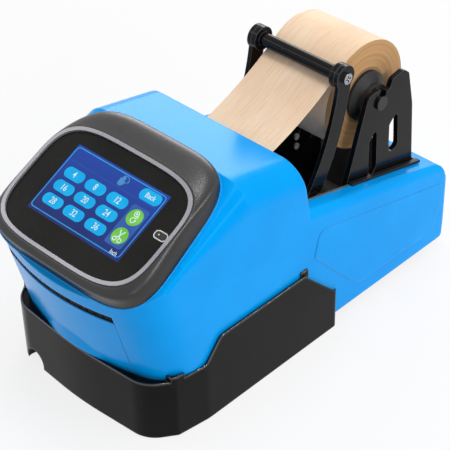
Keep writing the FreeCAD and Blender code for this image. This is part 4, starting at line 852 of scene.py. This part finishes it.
def bristleLine(rng, x, faceY, row):  # root, bend and tip of one bristle

    def stray(name):
        return rng.uniform(-bristles[name], bristles[name])

    drop = bristles["faceLevel"] - bristles["top"]
    inward = bristles["inset"] + row * bristles["rowStep"] + bristles["lean"] * drop + stray("strayRow")
    root = Vector((x + stray("strayRoot") * mm, faceY + inward * mm, bristles["top"] * mm))
    length = bristles["top"] - bristles["bottom"] - rng.uniform(0, bristles["shorter"])
    lean = bristles["lean"] * length
    tip = root + Vector((stray("strayTip"), lean + rng.uniform(*bristles["tipBack"]), -length)) * mm
    bend = (root + tip) / 2 + Vector((stray("strayBend"), rng.uniform(*bristles["bendBack"]), 0)) * mm
    return root, bend, tip


def makeBristles():
    rng = random.Random(bristles["seed"])
    cover = surfaceTree("main_cover")
    vertices, faces = [], []
    count = int((bristles["right"] - bristles["left"]) / bristles["pitch"])
    for i in range(count):
        x = (bristles["left"] + (i + 0.5) * bristles["pitch"]) * mm
        hit = cover.ray_cast(Vector((x, inFront, bristles["faceLevel"] * mm)), Vector((0, 1, 0)))[0]
        for row in range(bristles["rows"]):
            first = len(vertices)
            for centre, share in zip(bristleLine(rng, x, hit.y, row), bristles["taper"]):
                for k in range(4):
                    turn = math.pi * (k + 0.5) / 2
                    away = Vector((math.cos(turn), math.sin(turn), 0)) * bristles["thick"] * share * mm
                    vertices.append(centre + away)
            for level in (0, 4):
                for k in range(4):
                    a, b = first + level + k, first + level + (k + 1) % 4
                    faces.append([a, b, b + 4, a + 4])
            faces.append([first + k for k in range(4)])
            faces.append([first + 8 + k for k in range(4)][::-1])
    made = addPiece("bristle_tufts", vertices, faces, "bristleBlack", "machine")
    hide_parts("exit_bristles")


# black strip on the door's top edge, under the bristles: painted shade that darkens the slot, standing in
# partly for bristles that spill over; its pale specks are painted glints
slotShadeStrip = {"left": -71.5, "right": 58.6, "pitch": 1.5, "front": 0.75, "back": 0.2, "reach": 8.0,
             "height": 0.3, "probe": 1.0}


def makeSlotShadeStrip():
    door = surfaceTree("front_door")
    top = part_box("front_door")[1].z
    level = top - slotShadeStrip["probe"] * mm
    count = int((slotShadeStrip["right"] - slotShadeStrip["left"]) / slotShadeStrip["pitch"])
    rows = []
    for i in range(count + 1):
        x = (slotShadeStrip["left"] + i * slotShadeStrip["pitch"]) * mm
        face = door.ray_cast(Vector((x, inFront, level)), Vector((0, 1, 0)))[0]
        if face is None:
            continue
        rear = door.ray_cast(face + Vector((0, slotShadeStrip["reach"] * mm, 0)), Vector((0, -1, 0)))[0]
        rows.append((x, face.y + slotShadeStrip["front"] * mm, rear.y - slotShadeStrip["back"] * mm))
    vertices, faces = [], []
    upper = top + slotShadeStrip["height"] * mm
    for x, front, rear in rows:
        vertices += [(x, front, top), (x, rear, top), (x, rear, upper), (x, front, upper)]
    for i in range(len(rows) - 1):
        for k in range(4):
            faces.append([4 * i + k, 4 * i + (k + 1) % 4, 4 * i + 4 + (k + 1) % 4, 4 * i + 4 + k])
    faces.append([0, 1, 2, 3])
    faces.append([len(vertices) - 4 + k for k in range(4)][::-1])
    print("felt strip:", len(rows), "stations, top of the door", round(top / mm, 2))
    addPiece("door_slot_shade_strip", vertices, faces, "bristleBlack", "door")


# the pale specks on this black are painted glints on the bristle tips
bristleBlack = {"colour": (8, 8, 8), "second": (30, 28, 26), "spread": 420.0, "specular": 0.3,
                "roughness": (0.25, 0.5), "specks": (620.0, 0.34, (226, 222, 212)), "grain": 2600.0,
                "edgeHighlightShare": 0.0}
materials["bristleBlack"] = makeFinish("bristleBlack", bristleBlack)
makeBristles()
print("bristles made")
makeSlotShadeStrip()


# ring and bar on the mains switch
switchMarks = {"ringOuter": 1.3, "ringInner": 0.9, "ringLevel": 2.6, "ringSteps": 20, "barHalf": 1.3,
               "barLow": -2.8, "barHigh": -2.4, "lift": 0.03, "probe": 20.0}


def makeSwitchMarks():
    low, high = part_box("power_rocker")
    middle = (low + high) / 2
    tree = surfaceTree("power_rocker")
    vertices, faces = [], []

    def onRocker(dx, dz):
        x, z = middle.x + dx * mm, middle.z + dz * mm
        hit = tree.ray_cast(Vector((x, high.y + switchMarks["probe"] * mm, z)), Vector((0, -1, 0)))[0]
        return (hit or Vector((x, high.y, z))) + Vector((0, switchMarks["lift"] * mm, 0))

    def patch(points):
        first = len(vertices)
        vertices.extend(onRocker(*p) for p in points)
        faces.append([first + i for i in range(len(points))])

    outer, inner, steps = switchMarks["ringOuter"], switchMarks["ringInner"], switchMarks["ringSteps"]
    for i in range(steps):
        start, end = (2 * math.pi * (i + k) / steps for k in (0, 1))
        corners = ((outer, start), (outer, end), (inner, end), (inner, start))
        patch([(r * math.cos(turn), switchMarks["ringLevel"] + r * math.sin(turn)) for r, turn in corners])
    half, barLow, barHigh = switchMarks["barHalf"], switchMarks["barLow"], switchMarks["barHigh"]
    patch([(-half, barLow), (half, barLow), (half, barHigh), (-half, barHigh)])
    addPiece("rocker_marks", vertices, faces, "lampLine", "rocker")


makeSwitchMarks()
print("switch marks made")


# floor, world and lamps
def seenRays(tree):  # 1 for rays from the camera, off gloss or through glass
    rays = addNode(tree, "ShaderNodeLightPath").outputs
    direct = mathNode(tree, "MAXIMUM", rays["Is Camera Ray"], rays["Is Glossy Ray"])
    return mathNode(tree, "MAXIMUM", direct, rays["Is Transmission Ray"])


def makeFloor():
    half = stage["floorSize"] / 2
    mesh = bpy.data.meshes.new("floor")
    corners = [(-half, -half, 0), (half, -half, 0), (half, half, 0), (-half, half, 0)]
    mesh.from_pydata(corners, [], [(0, 1, 2, 3)])
    floor = bpy.data.objects.new("floor", mesh)
    bpy.context.scene.collection.objects.link(floor)
    material, tree, shader = startMaterial("floorPale", Roughness=0.9)
    shader.inputs["Specular IOR Level"].default_value = 0.0
    shader.inputs["Base Color"].default_value = linear(*stage["floorColour"])
    share = mathNode(tree, "MULTIPLY", seenRays(tree), stage["backdropShare"])
    glow = addNode(tree, "ShaderNodeEmission", {"Color": (1.0, 1.0, 1.0, 1.0), "Strength": 1.0}).outputs[0]
    both = addNode(tree, "ShaderNodeMixShader", {0: share, 1: shader.outputs[0], 2: glow}).outputs[0]
    tree.links.new(both, tree.nodes["Material Output"].inputs["Surface"])
    mesh.materials.append(material)


def makeWorld():  # lights plainly, and is white where it is seen or mirrored
    world = bpy.data.worlds.new("studio")
    world.use_nodes = True
    bpy.context.scene.world = world
    sky = world.node_tree
    background = sky.nodes["Background"]
    background.inputs["Color"].default_value = (*stage["skyColour"], 1.0)
    lift = mathNode(sky, "MULTIPLY", seenRays(sky), 1.0 - stage["skyStrength"])
    sky.links.new(mathNode(sky, "ADD", lift, stage["skyStrength"]), background.inputs["Strength"])


def makeLamps():
    for name, lamp in lamps.items():
        data = bpy.data.lights.new(name, "AREA")
        data.shape = "RECTANGLE"
        data.size, data.size_y = lamp["size"]
        data.energy = lamp["power"]
        made = bpy.data.objects.new(name, data)
        made.location = lamp["place"]
        toward = Vector(lamp["aim"]) - Vector(lamp["place"])
        made.rotation_euler = toward.to_track_quat("-Z", "Y").to_euler()
        bpy.context.scene.collection.objects.link(made)


makeFloor()
makeWorld()
makeLamps()
print("stage and lamps made:", len(lamps), "lamps")

bpy.context.view_layer.update()
